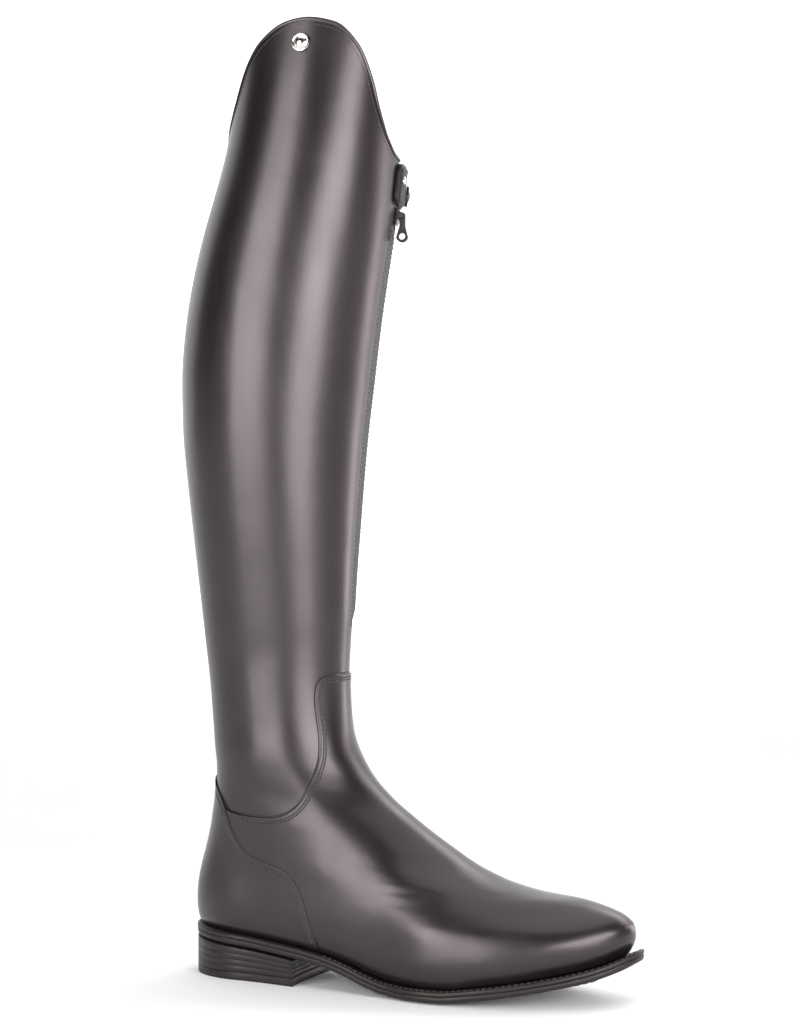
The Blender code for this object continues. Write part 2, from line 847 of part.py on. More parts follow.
def make_tab_rivet(material):
    turn = leg_turn(RIVET_LINE, RIVET_HEIGHT)
    matrix = face_matrix(turn, RIVET_HEIGHT, 2.0 * GAP + TAB_SLACK + TAB_THICKNESS)
    profile = [(2.4, 0.0), (2.4, 0.4), (1.9, 0.9), (1.0, 1.2)]
    return add_turned("tab_rivet", profile, 12, matrix, material)


def make_arch_stud(material):
    matrix = face_matrix(STUD_TURN, STUD_LEVEL, GAP)
    profile = dome_profile(STUD_DIAMETER, STUD_HEIGHT, 0.5)
    return add_turned("arch_stud", profile, 18, matrix, material)


def zip_hinge():
    """Frame of the pull's pin: X along the pin, Y straight up and Z away from the leg."""
    turn = leg_turn(ZIP_LINE, SLIDER_HEIGHT)
    normal = surface_normal(turn, SLIDER_HEIGHT)
    outward = Vector((normal.x, normal.y, 0.0)).normalized()
    upward = Vector((0.0, 0.0, 1.0))
    matrix = Matrix((upward.cross(outward), upward, outward)).transposed().to_4x4()
    matrix.translation = offset_point(turn, SLIDER_HEIGHT, PIN_OFFSET)
    return matrix


def make_zip_slider(material):
    """Slider plate with two ears and the pin that carries the pull."""
    hinge = zip_hinge()
    turn = leg_turn(ZIP_LINE, SLIDER_HEIGHT)
    face = face_matrix(turn, SLIDER_HEIGHT, 0.0)
    half = SLIDER_WIDTH / 2.0
    base = [(-6.5, -0.35), (4.0, -0.35), (4.0, 1.0), (3.0, 1.9), (-5.5, 1.9), (-6.5, 1.0)]
    slider = add_plate("zip_slider", base, -half, half, face, material)
    ear = [(-3.4, 1.0), (3.0, 1.0)] + arc((0.0, PIN_OFFSET), 1.6, 0.0, 180.0, 6)
    inner = PULL_WIDTH / 2.0 + 0.4
    for sign in (-1.0, 1.0):
        low, high = sorted((sign * inner, sign * (inner + 1.2)))
        name = "slider_ear_cutter_" + ("a" if sign < 0.0 else "b")
        add_boolean(slider, add_plate(name, ear, low, high, face, None, cutter=True), "UNION")
    reach = inner + 0.8
    pin = add_plate(
        "slider_pin_cutter", arc((0.0, 0.0), PIN_DIAMETER / 2.0, 0.0, 330.0, 11),
        -reach, reach, hinge, None, cutter=True,
    )
    add_boolean(slider, pin, "UNION")
    return slider


def make_zip_pull(material):
    """Drop-shaped lever that hangs from the slider's pin, with an eye at its foot."""
    hinge = zip_hinge()
    eye = (-PULL_LENGTH + PULL_FOOT_RADIUS, PULL_LEAN)
    head = arc((0.0, 0.0), 1.9, -78.0, 80.0, 8)
    foot = arc(eye, PULL_FOOT_RADIUS, 98.0, 262.0, 12)
    outline = head + [(-PULL_NECK, 1.8)] + foot + [(-PULL_NECK, -1.6)]
    half = PULL_WIDTH / 2.0
    pull = add_plate("zip_pull", outline, -half, half, hinge, material)
    # The mesh is kept round the pin's axis, so that the piece's origin lies on its joint
    hinge_point = place(hinge.translation)
    pull.data.transform(Matrix.Translation(-hinge_point))
    pull.location = hinge_point
    holes = (("pull_pin_hole", (0.0, 0.0), PIN_DIAMETER / 2.0 + 0.35), ("pull_eye", eye, 2.0))
    for name, middle, radius in holes:
        circle = arc(middle, radius, 0.0, 345.0, 15)
        cutter = add_plate(name + "_cutter", circle, -half - 1.0, half + 1.0, hinge, None, cutter=True)
        add_boolean(pull, cutter, "DIFFERENCE")
    return pull


# Assembly

def clear_scene():
    for piece in list(bpy.data.objects):
        bpy.data.objects.remove(piece, do_unlink=True)


def main():
    clear_scene()
    leather = add_material("black_calf", (0.022, 0.018, 0.018), 0.28)
    sole_rubber = add_material("sole_rubber", (0.030, 0.024, 0.022), 0.5)
    welt_leather = add_material("welt_leather", (0.032, 0.025, 0.023), 0.42)
    lining = add_material("lining", (0.10, 0.085, 0.075), 0.7)
    tape = add_material("zip_tape", (0.03, 0.028, 0.03), 0.75)
    steel = add_material("polished_steel", (0.62, 0.60, 0.58), 0.2, 1.0)
    dark_steel = add_material("dark_steel", (0.16, 0.15, 0.15), 0.25, 1.0)
    make_outsole(sole_rubber)
    make_welt(welt_leather)
    make_heel_top_lift(sole_rubber)
    make_heel_block(welt_leather)
    make_insole(lining)
    zip_cutter = make_zip_cutter()
    make_upper(leather, zip_cutter)
    make_vamp(leather)
    make_counter(leather)
    make_collar_binding(leather, zip_cutter)
    make_zip_tape(tape)
    make_snap_tab(leather)
    make_snap_cap(dark_steel)
    make_tab_rivet(steel)
    make_arch_stud(steel)
    make_zip_slider(dark_steel)
    make_zip_pull(dark_steel)


main()
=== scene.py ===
"""Looks of the dress riding boot: polished leather, seams, zip, metal and studio light.

The surface tables repeat those of the CAD source, in millimetres. Stations are measured
from the heel's back edge towards the toe, heights from the floor. Three rows of the
sections have a smaller rounding than in the CAD source, which eases the side of the foot.
"""

import math

import bpy
import numpy as np
from mathutils import Matrix, Vector
from mathutils.bvhtree import BVHTree


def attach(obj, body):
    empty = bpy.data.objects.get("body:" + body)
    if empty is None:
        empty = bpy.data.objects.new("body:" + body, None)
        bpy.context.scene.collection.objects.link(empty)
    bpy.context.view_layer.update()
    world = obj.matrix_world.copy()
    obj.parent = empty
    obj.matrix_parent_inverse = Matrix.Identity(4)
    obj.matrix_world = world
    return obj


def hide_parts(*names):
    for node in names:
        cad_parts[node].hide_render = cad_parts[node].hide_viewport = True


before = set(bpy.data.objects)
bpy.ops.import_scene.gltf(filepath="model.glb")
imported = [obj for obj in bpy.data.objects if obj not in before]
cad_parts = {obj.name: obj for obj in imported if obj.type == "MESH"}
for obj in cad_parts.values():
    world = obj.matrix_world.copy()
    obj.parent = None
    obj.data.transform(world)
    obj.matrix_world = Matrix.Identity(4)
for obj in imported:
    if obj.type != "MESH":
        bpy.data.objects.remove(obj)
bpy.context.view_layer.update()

MM = 0.001
HEEL_CENTRE = 39.0

# Sizes shared with the CAD source
SOLE_LENGTH = 283.0
HEEL_LENGTH = 79.0
HEEL_TOP_LIFT = 5.0
HEEL_BREAST_BOW = 1.3
EDGE_THICKNESS = 7.6
WELT_THICKNESS = 2.9
WELT_WIDTH = 17.0
UPPER_WALL = 2.2
VAMP_LAYER = 1.3
COUNTER_LAYER = 1.8
GAP = 0.3
SEAM_GAP = 0.4
SEAT_GAP = 0.7
TOE_TIP_SHIFT = 6.8
ZIP_LINE = 13.0
ZIP_OPENING = 10.0
ZIP_FOOT = 212.0
TAB_FOOT = 465.5
TAB_HEAD = 486.8
TAB_LINE = 19.5
TAB_LENGTH = 32.0
TAB_THICKNESS = 3.2
TAB_SLACK = 0.15
SNAP_LINE = 25.0
SNAP_HEIGHT = 473.0
RIVET_LINE = 8.5
RIVET_HEIGHT = 480.0
STUD_TURN = 0.2736
STUD_LEVEL = 555.0
SLIDER_HEIGHT = 460.0

# Sizes of the looks alone
VAMP_SIDE = 1.0
COUNTER_SIDE = -1.0
TAB_STRAIGHT = 0.62
TAB_RISE = 3.0
WELT_STITCH = 1.9
WELT_STITCH_START = 96.0
TREAD_DEPTH = 1.2
TREAD_PITCH = 4.0
TREAD_START = 108.0
TREAD_END = 262.0
HEEL_LAYERS = 4
EASE_REACH = 12.0
EASE_SWING = 0.014
EASE_END = 0.68
EASE_FADE = 0.26
SWING_START = 0.2
SWING_TOP = 85.0
SWING_FADE = 20.0
SOFT_REST = 0.15
# Taps of the easing: share of the reach, share of the swing and weight
EASE_TAPS = [
    (-1.0, 0.0, 1.0), (-0.5, 0.0, 2.0), (0.0, 0.0, 3.0), (0.5, 0.0, 2.0), (1.0, 0.0, 1.0),
    (0.0, -1.0, 3.0), (0.0, 1.0, 3.0),
]
SETTLE_LIFT = 3.0
TAPE_HEAD = 486.5
ZIP_SWELL = 1.6
THIN_LAYER = 1.0
THIN_FROM = 96.0
THIN_OVER = 16.0
SHADOW_GAP = 0.75
SHADOW_LIFT = 0.04
ROLL_SINK = 0.7
VAMP_SEAM_START = 30.0
COUNTER_SEAM_SPAN = (24.0, 116.0)
BINDING_ENDS = (488.5, 491.0)
BINDING_CLEARANCE = 0.0006
TAPE_HALF = 4.7
TAPE_BACK = -1.9
TOOTH_PITCH = 1.45
SLOT_END = 489.0
PAINT_DEPTH = -0.45
PAINT_SIZE = (0.5, 0.62)
RIB_HALF_RISE = 0.65
BAR_TAPER = 0.7

# Rows of stitches: pitch, length, width and height
SEAM_STITCH = (2.9, 2.1, 0.62, 0.30)
COLLAR_STITCH = (2.7, 2.0, 0.55, 0.26)
ZIP_STITCH = (2.8, 2.0, 0.55, 0.26)
TAB_STITCH = (2.6, 1.9, 0.5, 0.25)
SOLE_STITCH = (3.7, 2.6, 0.95, 0.6)

# Mesh resolution
UPPER_COLUMNS = 208
FOOT_STEP = 2.2
LEG_STEP = 4.4
COLLAR_ROWS = 22
SOLE_COLUMNS = 320
ANKLE_HEIGHT = 145.0
SLOT_TURN = 0.506
SLOT_COLUMNS = 6
SLOT_SPREAD = (0.36, 0.72)
SLOT_HEAD = 490.0


class Table:
    """Rows of named columns, read between its rows along a smooth monotone curve."""

    def __init__(self, columns, rows):
        data = np.array(rows, float)
        self.keys = data[:, 0]
        self.values = {name: data[:, i] for i, name in enumerate(columns) if i > 0}
        self.slopes = {name: self.find_slopes(column) for name, column in self.values.items()}

    def find_slopes(self, column):
        steps = np.diff(column) / np.diff(self.keys)
        before = steps[:-1]
        after = steps[1:]
        product = before * after
        total = np.where(product > 0.0, before + after, 1.0)
        inner = np.where(product > 0.0, 2.0 * product / total, 0.0)
        return np.concatenate(([steps[0]], inner, [steps[-1]]))

    def read(self, name, key):
        keys = self.keys
        key = np.clip(key, keys[0], keys[-1])
        i = np.clip(np.searchsorted(keys, key, side="right") - 1, 0, len(keys) - 2)
        width = keys[i + 1] - keys[i]
        s = (key - keys[i]) / width
        column = self.values[name]
        slopes = self.slopes[name]
        rise = s * s * (3.0 - 2.0 * s)
        start = s * (1.0 - s) * (1.0 - s) * width * slopes[i]
        end = s * s * (s - 1.0) * width * slopes[i + 1]
        return column[i] * (1.0 - rise) + column[i + 1] * rise + start + end


PLAN = Table(
    ("station", "outer", "inner"),
    [
        (0, 28.6, 28.6), (39, 28.6, 28.6), (79, 33.0, 31.5), (113, 37.7, 30.5),
        (141, 42.0, 33.5), (170, 47.5, 39.5), (198, 45.5, 43.5), (232, 43.0, 44.5),
        (283, 40.0, 45.0),
    ],
)
HEEL_ROUNDING = 39.0
TOE_ROUNDING = 85.0
TOE_POWER = 1.5

UNDERSIDE = Table(
    ("station", "height"),
    [
        (0, 23.0), (79, 15.6), (97, 12.9), (113, 9.1), (128, 4.1), (141, 1.0), (157, 0.0),
        (176, 0.0), (198, 2.5), (232, 8.0), (260, 14.2), (275, 19.6), (283, 24.0),
    ],
)

# Leg sections: back height, back, front, front height, rounding and half width
LEG = [
    (145, 12.3, 99.7, 150.4, 43.7, 35.0), (160, 11.3, 98.3, 162.0, 43.5, 34.9),
    (178, 9.8, 97.6, 178.6, 43.9, 35.3), (198, 7.4, 98.3, 198.0, 45.4, 36.8),
    (220, 4.8, 99.8, 220.0, 47.5, 39.0), (245, 2.0, 101.2, 245.0, 49.6, 42.0),
    (270, -0.8, 103.0, 270.0, 51.9, 45.3), (300, -3.8, 105.3, 300.0, 54.5, 49.1),
    (330, -6.4, 108.2, 330.0, 57.3, 52.4), (360, -6.8, 112.0, 360.0, 59.4, 54.6),
    (390, -4.4, 115.8, 390.0, 60.1, 55.7), (420, 1.0, 120.4, 420.0, 59.7, 56.0),
    (445, 7.4, 124.6, 445.0, 58.6, 55.6), (470, 15.6, 128.2, 470.0, 56.3, 54.6),
    (500, 24.6, 131.6, 500.0, 53.5, 53.2), (535, 30.6, 135.2, 535.0, 52.3, 51.2),
    (575, 35.0, 139.0, 575.0, 52.0, 48.5),
]

# Sections of the upper, keyed by the height of the section's back point
SECTIONS = Table(
    (
        "back_height", "back", "front", "front_height", "front_shift", "back_round",
        "front_round", "front_power", "inset", "leg_share", "outer", "inner", "sag",
    ),
    [
        (30.6, 3.8, 270.8, 31.6, 6.8, 38, 80, 1.5, 6.6, 0.00, 29, 29, 1.00),
        (33.5, 2.6, 274.8, 35.0, 6.8, 38, 80, 1.5, 4.6, 0.00, 29, 29, 0.90),
        (37.5, 1.7, 276.9, 39.5, 6.8, 38, 80, 1.5, 3.2, 0.00, 29, 29, 0.80),
        (42, 1.2, 276.5, 45.0, 6.8, 38, 80, 1.5, 2.6, 0.02, 29, 29, 0.66),
        (47, 1.3, 271.8, 50.8, 6.8, 38, 88, 1.35, 2.4, 0.04, 29, 29, 0.50),
        (52, 1.6, 261.0, 55.6, 6.8, 38, 110, 1.2, 2.6, 0.07, 29, 29, 0.34),
        (58, 2.5, 246.0, 58.6, 6.6, 38, 122, 1.2, 2.8, 0.11, 29.3, 29.3, 0.20),
        (64, 3.9, 226.5, 59.5, 6.4, 38, 110, 1.3, 3.0, 0.17, 29.8, 29.8, 0.10),
        (70, 5.7, 206.0, 62.4, 6.2, 38, 108, 1.8, 3.0, 0.25, 30.4, 30.4, 0.03),
        (77, 7.9, 185.5, 69.4, 5.8, 39, 108, 2.0, 3.0, 0.36, 31.2, 31.2, 0.00),
        (85, 10.1, 163.4, 82.2, 5.0, 40, 96, 2.0, 3.0, 0.50, 32.0, 32.0, 0.00),
        (94, 12.2, 143.4, 95.6, 4.0, 41, 80, 2.0, 3.0, 0.66, 32.8, 32.8, 0.00),
        (105, 13.5, 124.6, 110.4, 3.0, 43, 66, 2.0, 3.0, 0.82, 33.6, 33.6, 0.00),
        (118, 14.0, 109.8, 127.0, 2.0, 45, 50, 2.0, 3.0, 0.94, 34.4, 34.4, 0.00),
        (131, 13.6, 102.6, 140.0, 1.0, 44.5, 44.5, 2.0, 3.0, 1.00, 35.0, 35.0, 0.00),
    ] + [
        (height, back, front, front_height, 0.0, rounding, rounding, 2.0, 3.0, 1.0, half, half, 0.0)
        for height, back, front, front_height, rounding, half in LEG
    ],
)
FOREFOOT_INSET = 1.5
FOREFOOT_START = 90.0
FOREFOOT_FULL = 150.0
LOWEST = 30.6
OVERLAY_FOOT = 31.5
OVERLAY_ROW = 198.0
COLLAR_START = 445.0

COLLAR = Table(
    ("turn", "height"),
    [
        (0.000, 497.0), (0.040, 501.0), (0.080, 509.5), (0.115, 523.0), (0.150, 543.5),
        (0.186, 556.5), (0.243, 566.1), (0.277, 567.6), (0.328, 564.9), (0.373, 553.7),
        (0.410, 534.4), (0.433, 518.0), (0.465, 501.4), (0.500, 492.5), (0.560, 488.5),
        (0.700, 487.0), (0.850, 488.5), (0.930, 491.5), (1.000, 497.0),
    ],
)

# Edges of the overlays seen from the side: station and height of each turning point
COUNTER_EDGE = [
    (10.0, 124.0), (20.0, 114.0), (29.4, 104.3), (37.1, 88.3), (43.4, 79.1), (50.0, 74.6),
    (60.8, 71.0), (70.0, 68.2), (78.6, 62.3), (85.0, 52.0), (89.7, 40.0), (94.4, 26.7),
    (99.0, 12.0),
]
VAMP_EDGE = [
    (26.0, 104.2), (37.3, 100.4), (49.9, 99.1), (62.0, 98.9), (72.6, 101.1), (82.0, 108.0),
    (88.8, 120.8), (92.0, 132.5), (91.5, 146.4), (89.5, 161.1), (88.8, 173.0), (91.2, 181.8),
    (99.5, 184.2),
]

# Soft dents and rises worn into the leather, as seen from the side. side is -1 for the
# outer side, 1 for the inner side and 0 for both. depth is positive for a dent.
CREASES = [
    # side, station, height, angle, half length, half width, depth
    (0, 118.0, 104.0, -38.0, 26.0, 6.0, 0.55),
    (0, 104.0, 122.0, -30.0, 20.0, 6.0, 0.45),
    (-1, 101.0, 116.5, -18.0, 7.0, 2.3, 0.24),
    (-1, 106.0, 111.5, -28.0, 6.0, 2.2, 0.20),
    (-1, 98.0, 110.0, -36.0, 6.0, 2.2, 0.14),
    (-1, 84.0, 100.0, -12.0, 9.0, 3.0, 0.12),
    (-1, 66.0, 112.0, -14.0, 22.0, 6.5, 0.40),
    (1, 60.0, 118.0, -10.0, 24.0, 7.0, 0.45),
    (-1, 150.0, 78.0, -52.0, 15.0, 5.0, 0.35),
    (1, 160.0, 70.0, -40.0, 16.0, 5.0, 0.35),
    (-1, 40.0, 150.0, 4.0, 24.0, 9.0, 0.45),
    (1, 44.0, 160.0, -6.0, 24.0, 9.0, 0.50),
    (0, 20.0, 128.0, 12.0, 16.0, 7.0, 0.40),
    (-1, 52.0, 196.0, 6.0, 26.0, 12.0, 0.45),
    (1, 46.0, 214.0, -4.0, 26.0, 12.0, 0.45),
]


def smooth_step(value):
    value = np.clip(value, 0.0, 1.0)
    return value * value * (3.0 - 2.0 * value)


def rounded(distance, length, power):
    """How wide a section is near one rounded end, from 0 at the tip to 1."""
    rest = 1.0 - np.clip(distance / length, 0.0, 1.0)
    return np.sqrt(np.maximum(1.0 - rest ** power, 0.0))


def soft_rest(rest):
    """Positive part of a value up to 1, eased round zero so that the foot has no ridge."""
    top = (1.0 + math.sqrt(1.0 + SOFT_REST ** 2)) / 2.0
    return (rest + np.sqrt(rest * rest + SOFT_REST ** 2)) / 2.0 / top


def underside(station):
    return UNDERSIDE.read("height", station)


def sole_top(station):
    return underside(station) + EDGE_THICKNESS


# The upper's surface

def base_point(turn, height):
    """Points of the plain outer face, eased over neighbouring sections away from the toe."""
    turn, height = np.broadcast_arrays(np.asarray(turn, float), np.asarray(height, float))
    along = (1.0 - np.cos(2.0 * np.pi * turn)) / 2.0
    reach = EASE_REACH * (1.0 - smooth_step((along - EASE_END) / EASE_FADE))
    reach = np.minimum(reach, np.maximum(height - LOWEST, 0.0))
    reach = np.minimum(reach, np.maximum(SECTIONS.keys[-1] - height, 0.0))
    swing = EASE_SWING * reach / EASE_REACH * smooth_step((along - SWING_START) / SWING_START)
    swing = swing * (1.0 - smooth_step((height - SWING_TOP) / SWING_FADE))
    total = 0.0
    for share, side, weight in EASE_TAPS:
        total = total + section_point(turn + swing * side, height + reach * share) * weight
    return total / sum(tap[2] for tap in EASE_TAPS)


def section_point(turn, height):
    """Points on the sections themselves: turn goes round one, height names it."""
    section = {name: SECTIONS.read(name, height) for name in SECTIONS.values}
    angle = 2.0 * np.pi * turn
    along = (1.0 - np.cos(angle)) / 2.0
    length = section["front"] - section["back"]
    station = section["back"] + along * length
    width = rounded(along * length, section["back_round"], 2.0)
    front = soft_rest(1.0 - (1.0 - along) * length / section["front_round"])
    width = width * np.sqrt(np.maximum(1.0 - front ** section["front_power"], 0.0))
    outer = np.sin(angle) >= 0.0
    sign = np.where(outer, -1.0, 1.0)
    forefoot = smooth_step((station - FOREFOOT_START) / (FOREFOOT_FULL - FOREFOOT_START))
    plan = np.where(outer, PLAN.read("outer", station), PLAN.read("inner", station))
    plan = plan - section["inset"] - FOREFOOT_INSET * forefoot
    share = section["leg_share"]
    half = plan * (1.0 - share) + np.where(outer, section["outer"], section["inner"]) * share
    middle = section["front_shift"] * smooth_step(along)
    across = middle + (sign * half - middle) * width
    level = height + (section["front_height"] - height) * along
    first_front = SECTIONS.read("front_height", LOWEST)
    straight = LOWEST + (first_front - LOWEST) * along
    level = level + section["sag"] * (sole_top(station) + SEAT_GAP - straight)
    return np.stack((station, across, level), axis=-1)


def crease_depth(points):
    """How far the leather sinks at each point."""
    depth = np.zeros(points.shape[:-1])
    for side, station, height, angle, length, width, amount in CREASES:
        tilt = math.radians(angle)
        x = points[..., 0] - station
        z = points[..., 2] - height
        along = x * math.cos(tilt) + z * math.sin(tilt)
        across = -x * math.sin(tilt) + z * math.cos(tilt)
        trough = amount * np.exp(-((along / length) ** 2) - (across / width) ** 2)
        if side != 0:
            trough = trough * smooth_step(side * points[..., 1] / 12.0)
        depth += trough
    return depth


def surface_normal(turn, height):
    turn, height = np.broadcast_arrays(np.asarray(turn, float), np.asarray(height, float))
    low = np.maximum(height - 0.4, SECTIONS.keys[0])
    high = np.minimum(height + 0.4, SECTIONS.keys[-1])
    around = base_point(turn + 0.004, height) - base_point(turn - 0.004, height)
    upward = base_point(turn, high) - base_point(turn, low)
    normal = np.cross(around, upward)
    normal[..., 2] = np.where(height <= LOWEST, 0.0, normal[..., 2])
    return normal / np.linalg.norm(normal, axis=-1, keepdims=True)


def skin_point(turn, height, offset):
    """Points a given way above the creased leather."""
    base = base_point(turn, height)
    out = np.broadcast_to(offset, base.shape[:-1]) - crease_depth(base)
    return base + surface_normal(turn, height) * np.asarray(out)[..., None]


def collar_height(turn):
    return COLLAR.read("height", np.asarray(turn, float) % 1.0)


def leg_turn(across, height):
    """Turn at which the front of the leg lies a given way to the inner side."""
    half = SECTIONS.read("inner", height)
    return 0.5 + np.arcsin(across / half) / (2.0 * np.pi)


def find_on_side(stations, heights, side):
    """Turn and section height of points given by their side view."""
    stations = np.asarray(stations, float)
    heights = np.asarray(heights, float)
    key = heights.copy()
    turn = None
    for _ in range(60):
        back = SECTIONS.read("back", key)
        front = SECTIONS.read("front", key)
        along = np.clip((stations - back) / (front - back), 0.0, 1.0)
        turn = np.arccos(1.0 - 2.0 * along) / (2.0 * np.pi)
        if side > 0:
            turn = 1.0 - turn
        level = base_point(turn, key)[..., 2]
        key = np.clip(key + 0.6 * (heights - level), LOWEST, SECTIONS.keys[-1])
    return turn, key


# Mesh helpers

def place(points):
    """Stations, sides and heights in millimetres to the model's metres."""
    points = np.asarray(points, float)
    return (points - np.array([HEEL_CENTRE, 0.0, 0.0])) * MM


def add_object(name, data):
    """Object for a mesh, light or camera, placed in the scene."""
    made = bpy.data.objects.new(name, data)
    bpy.context.scene.collection.objects.link(made)
    return made


def add_mesh(name, points, faces, materials, indices=None, sharp=35.0):
    """Mesh object from points in millimetres, with smooth shading between its edges."""
    mesh = bpy.data.meshes.new(name)
    mesh.from_pydata(place(points).tolist(), [], faces)
    for material in materials:
        mesh.materials.append(material)
    if indices is not None:
        mesh.polygons.foreach_set("material_index", indices)
    mesh.shade_smooth()
    if sharp is not None:
        mesh.set_sharp_from_angle(angle=math.radians(sharp))
    return add_object(name, mesh)


def ring(lower, upper, count):
    """Quads between two closed loops of vertex numbers."""
    return [
        (lower + i, lower + (i + 1) % count, upper + (i + 1) % count, upper + i)
        for i in range(count)
    ]


def add_shell(name, outer, inner, materials, holes=None):
    """Wall between two grids of rows that close round, with optional missing cells."""
    rows, count = outer.shape[:2]
    start = rows * count
    points = np.concatenate((outer.reshape(-1, 3), inner.reshape(-1, 3)))
    kept = np.ones((rows - 1, count), bool) if holes is None else ~holes
    faces = []
    indices = []
    for row in range(rows - 1):
        for i in range(count):
            if not kept[row, i]:
                continue
            after = (i + 1) % count
            a, b = row * count + i, row * count + after
            c, d = b + count, a + count
            faces.append((a, b, c, d))
            faces.append((start + d, start + c, start + b, start + a))
            indices += [0, 1]
            if row == 0 or not kept[row - 1, i]:
                faces.append((b, a, start + a, start + b))
                indices.append(0)
            if row == rows - 2 or not kept[row + 1, i]:
                faces.append((d, c, start + c, start + d))
                indices.append(0)
            if not kept[row, after]:
                faces.append((c, b, start + b, start + c))
                indices.append(0)
            if not kept[row, i - 1]:
                faces.append((a, d, start + d, start + a))
                indices.append(0)
    if len(materials) == 1:
        indices = None
    return add_mesh(name, points, faces, materials, indices)


def add_loops(name, loops, caps, materials, sharp=35.0):
    """Solid from loops of points, each joined to the one after it."""
    loops = [np.asarray(loop, float) for loop in loops]
    count = len(loops[0])
    faces = []
    for i in range(len(loops) - 1):
        faces += ring(i * count, (i + 1) * count, count)
    top = (len(loops) - 1) * count
    if caps:
        faces.append(tuple(range(count - 1, -1, -1)))
        faces.append(tuple(range(top, top + count)))
    else:
        faces += ring(top, 0, count)
    return add_mesh(name, np.concatenate(loops), faces, materials, sharp=sharp)


def path_frames(path, normals):
    """Tangents, outward normals and side directions along a path."""
    tangents = np.gradient(path, axis=0)
    tangents /= np.linalg.norm(tangents, axis=1, keepdims=True)
    normals = normals - tangents * np.sum(normals * tangents, axis=1, keepdims=True)
    normals /= np.linalg.norm(normals, axis=1, keepdims=True)
    sides = np.cross(normals, tangents)
    return tangents, normals, sides


def add_sweep(name, rows, material, sharp):
    """Solid from the rows that a profile's points follow, with flat ends."""
    points = np.stack(rows, axis=1)
    count, sides = points.shape[:2]
    faces = []
    for i in range(count - 1):
        for j in range(sides):
            k = (j + 1) % sides
            faces.append((i * sides + j, (i + 1) * sides + j, (i + 1) * sides + k, i * sides + k))
    faces.append(tuple(range(sides)))
    faces.append(tuple((count - 1) * sides + j for j in range(sides - 1, -1, -1)))
    return add_mesh(name, points.reshape(-1, 3), faces, [material], sharp=sharp)


def add_tube(name, path, normals, wide, high, material, sides=8):
    """Tube of oval section along a path."""
    _, normals, across = path_frames(path, normals)
    rows = []
    for angle in 2.0 * np.pi * np.arange(sides) / sides:
        rows.append(path + across * (wide * math.cos(angle)) + normals * (high * math.sin(angle)))
    return add_sweep(name, rows, material, None)


def resample(path, normals, pitch):
    """Path and normals at even steps along their length."""
    steps = np.linalg.norm(np.diff(path, axis=0), axis=1)
    length = np.concatenate(([0.0], np.cumsum(steps)))
    places = np.arange(pitch / 2.0, length[-1], pitch)
    even = np.stack([np.interp(places, length, path[:, k]) for k in range(3)], axis=1)
    even_normals = np.stack([np.interp(places, length, normals[:, k]) for k in range(3)], axis=1)
    return even, even_normals


def add_stitches(name, path, normals, stitch, material):
    """Row of thread stitches, each a short rounded bar half sunk in the leather."""
    pitch, length, wide, high = stitch
    points, normals = resample(path, normals, pitch)
    tangents, normals, across = path_frames(points, normals)
    profile = [(-1.0, 0.0), (-0.72, 0.75), (0.0, 1.0), (0.72, 0.75), (1.0, 0.0)]
    round_count = 6
    all_points = []
    faces = []
    for centre, tangent, normal, side in zip(points, tangents, normals, across):
        base = len(all_points)
        slant = tangent + side * 0.12
        for share, swell in profile:
            middle = centre + slant * (share * length / 2.0)
            for k in range(round_count):
                angle = 2.0 * math.pi * k / round_count
                out = side * (wide / 2.0 * swell * math.cos(angle))
                up = normal * (high * (swell * math.sin(angle) + 0.15))
                all_points.append(middle + out + up)
        for ring_row in range(len(profile) - 1):
            low = base + ring_row * round_count
            for k in range(round_count):
                after = (k + 1) % round_count
                faces.append((low + k, low + round_count + k, low + round_count + after, low + after))
    return add_mesh(name, np.array(all_points), faces, [material], sharp=None)


def ride(piece, slot, *nodes, body="boot"):
    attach(piece, body)
    if nodes:
        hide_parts(*nodes)
    return piece


# Materials

class Nodes:
    """Short calls for building one material's nodes."""

    def __init__(self, name):
        self.material = bpy.data.materials.new(name)
        self.material.use_nodes = True
        self.tree = self.material.node_tree
        self.shader = self.tree.nodes["Principled BSDF"]
        self.place = self.add("TexCoord").outputs["Object"]

    def add(self, kind):
        return self.tree.nodes.new("ShaderNode" + kind)

    def fill(self, node, output, **values):
        """Gives a node's inputs their values, or links where a value is an output."""
        for name, value in values.items():
            socket = node.inputs[name.replace("_", " ")]
            if isinstance(value, bpy.types.NodeSocket):
                self.tree.links.new(value, socket)
            else:
                socket.default_value = value
        return node.outputs[output]

    def set(self, **values):
        self.fill(self.shader, "BSDF", **values)

    def noise(self, scale, detail=3.0, stretch=(1.0, 1.0, 1.0)):
        place = self.fill(self.add("Mapping"), "Vector", Scale=stretch, Vector=self.place)
        values = {"Scale": scale, "Detail": detail, "Roughness": 0.5, "Vector": place}
        return self.fill(self.add("TexNoise"), "Fac", **values)

    def cells(self, scale):
        node = self.add("TexVoronoi")
        node.feature = "SMOOTH_F1"
        return self.fill(node, "Distance", Scale=scale, Vector=self.place)

    def waves(self, scale, distortion=0.0):
        node = self.add("TexWave")
        node.bands_direction = "DIAGONAL"
        return self.fill(node, "Fac", Scale=scale, Distortion=distortion, Vector=self.place)

    def spread(self, value, low, high, first=0.3, last=0.7):
        """Maps a pattern from its own range to the range low to high."""
        ends = {"From_Min": first, "From_Max": last, "To_Min": low, "To_Max": high}
        return self.fill(self.add("MapRange"), "Result", Value=value, **ends)

    def blend(self, share, first, second):
        """Colour between two colours."""
        node = self.add("Mix")
        node.data_type = "RGBA"
        return self.fill(node, "Result", A=(*first, 1.0), B=(*second, 1.0), Factor=share)

    def bump(self, height, distance, strength, **below):
        values = {"Distance": distance, "Strength": strength, "Height": height, **below}
        return self.fill(self.add("Bump"), "Normal", **values)


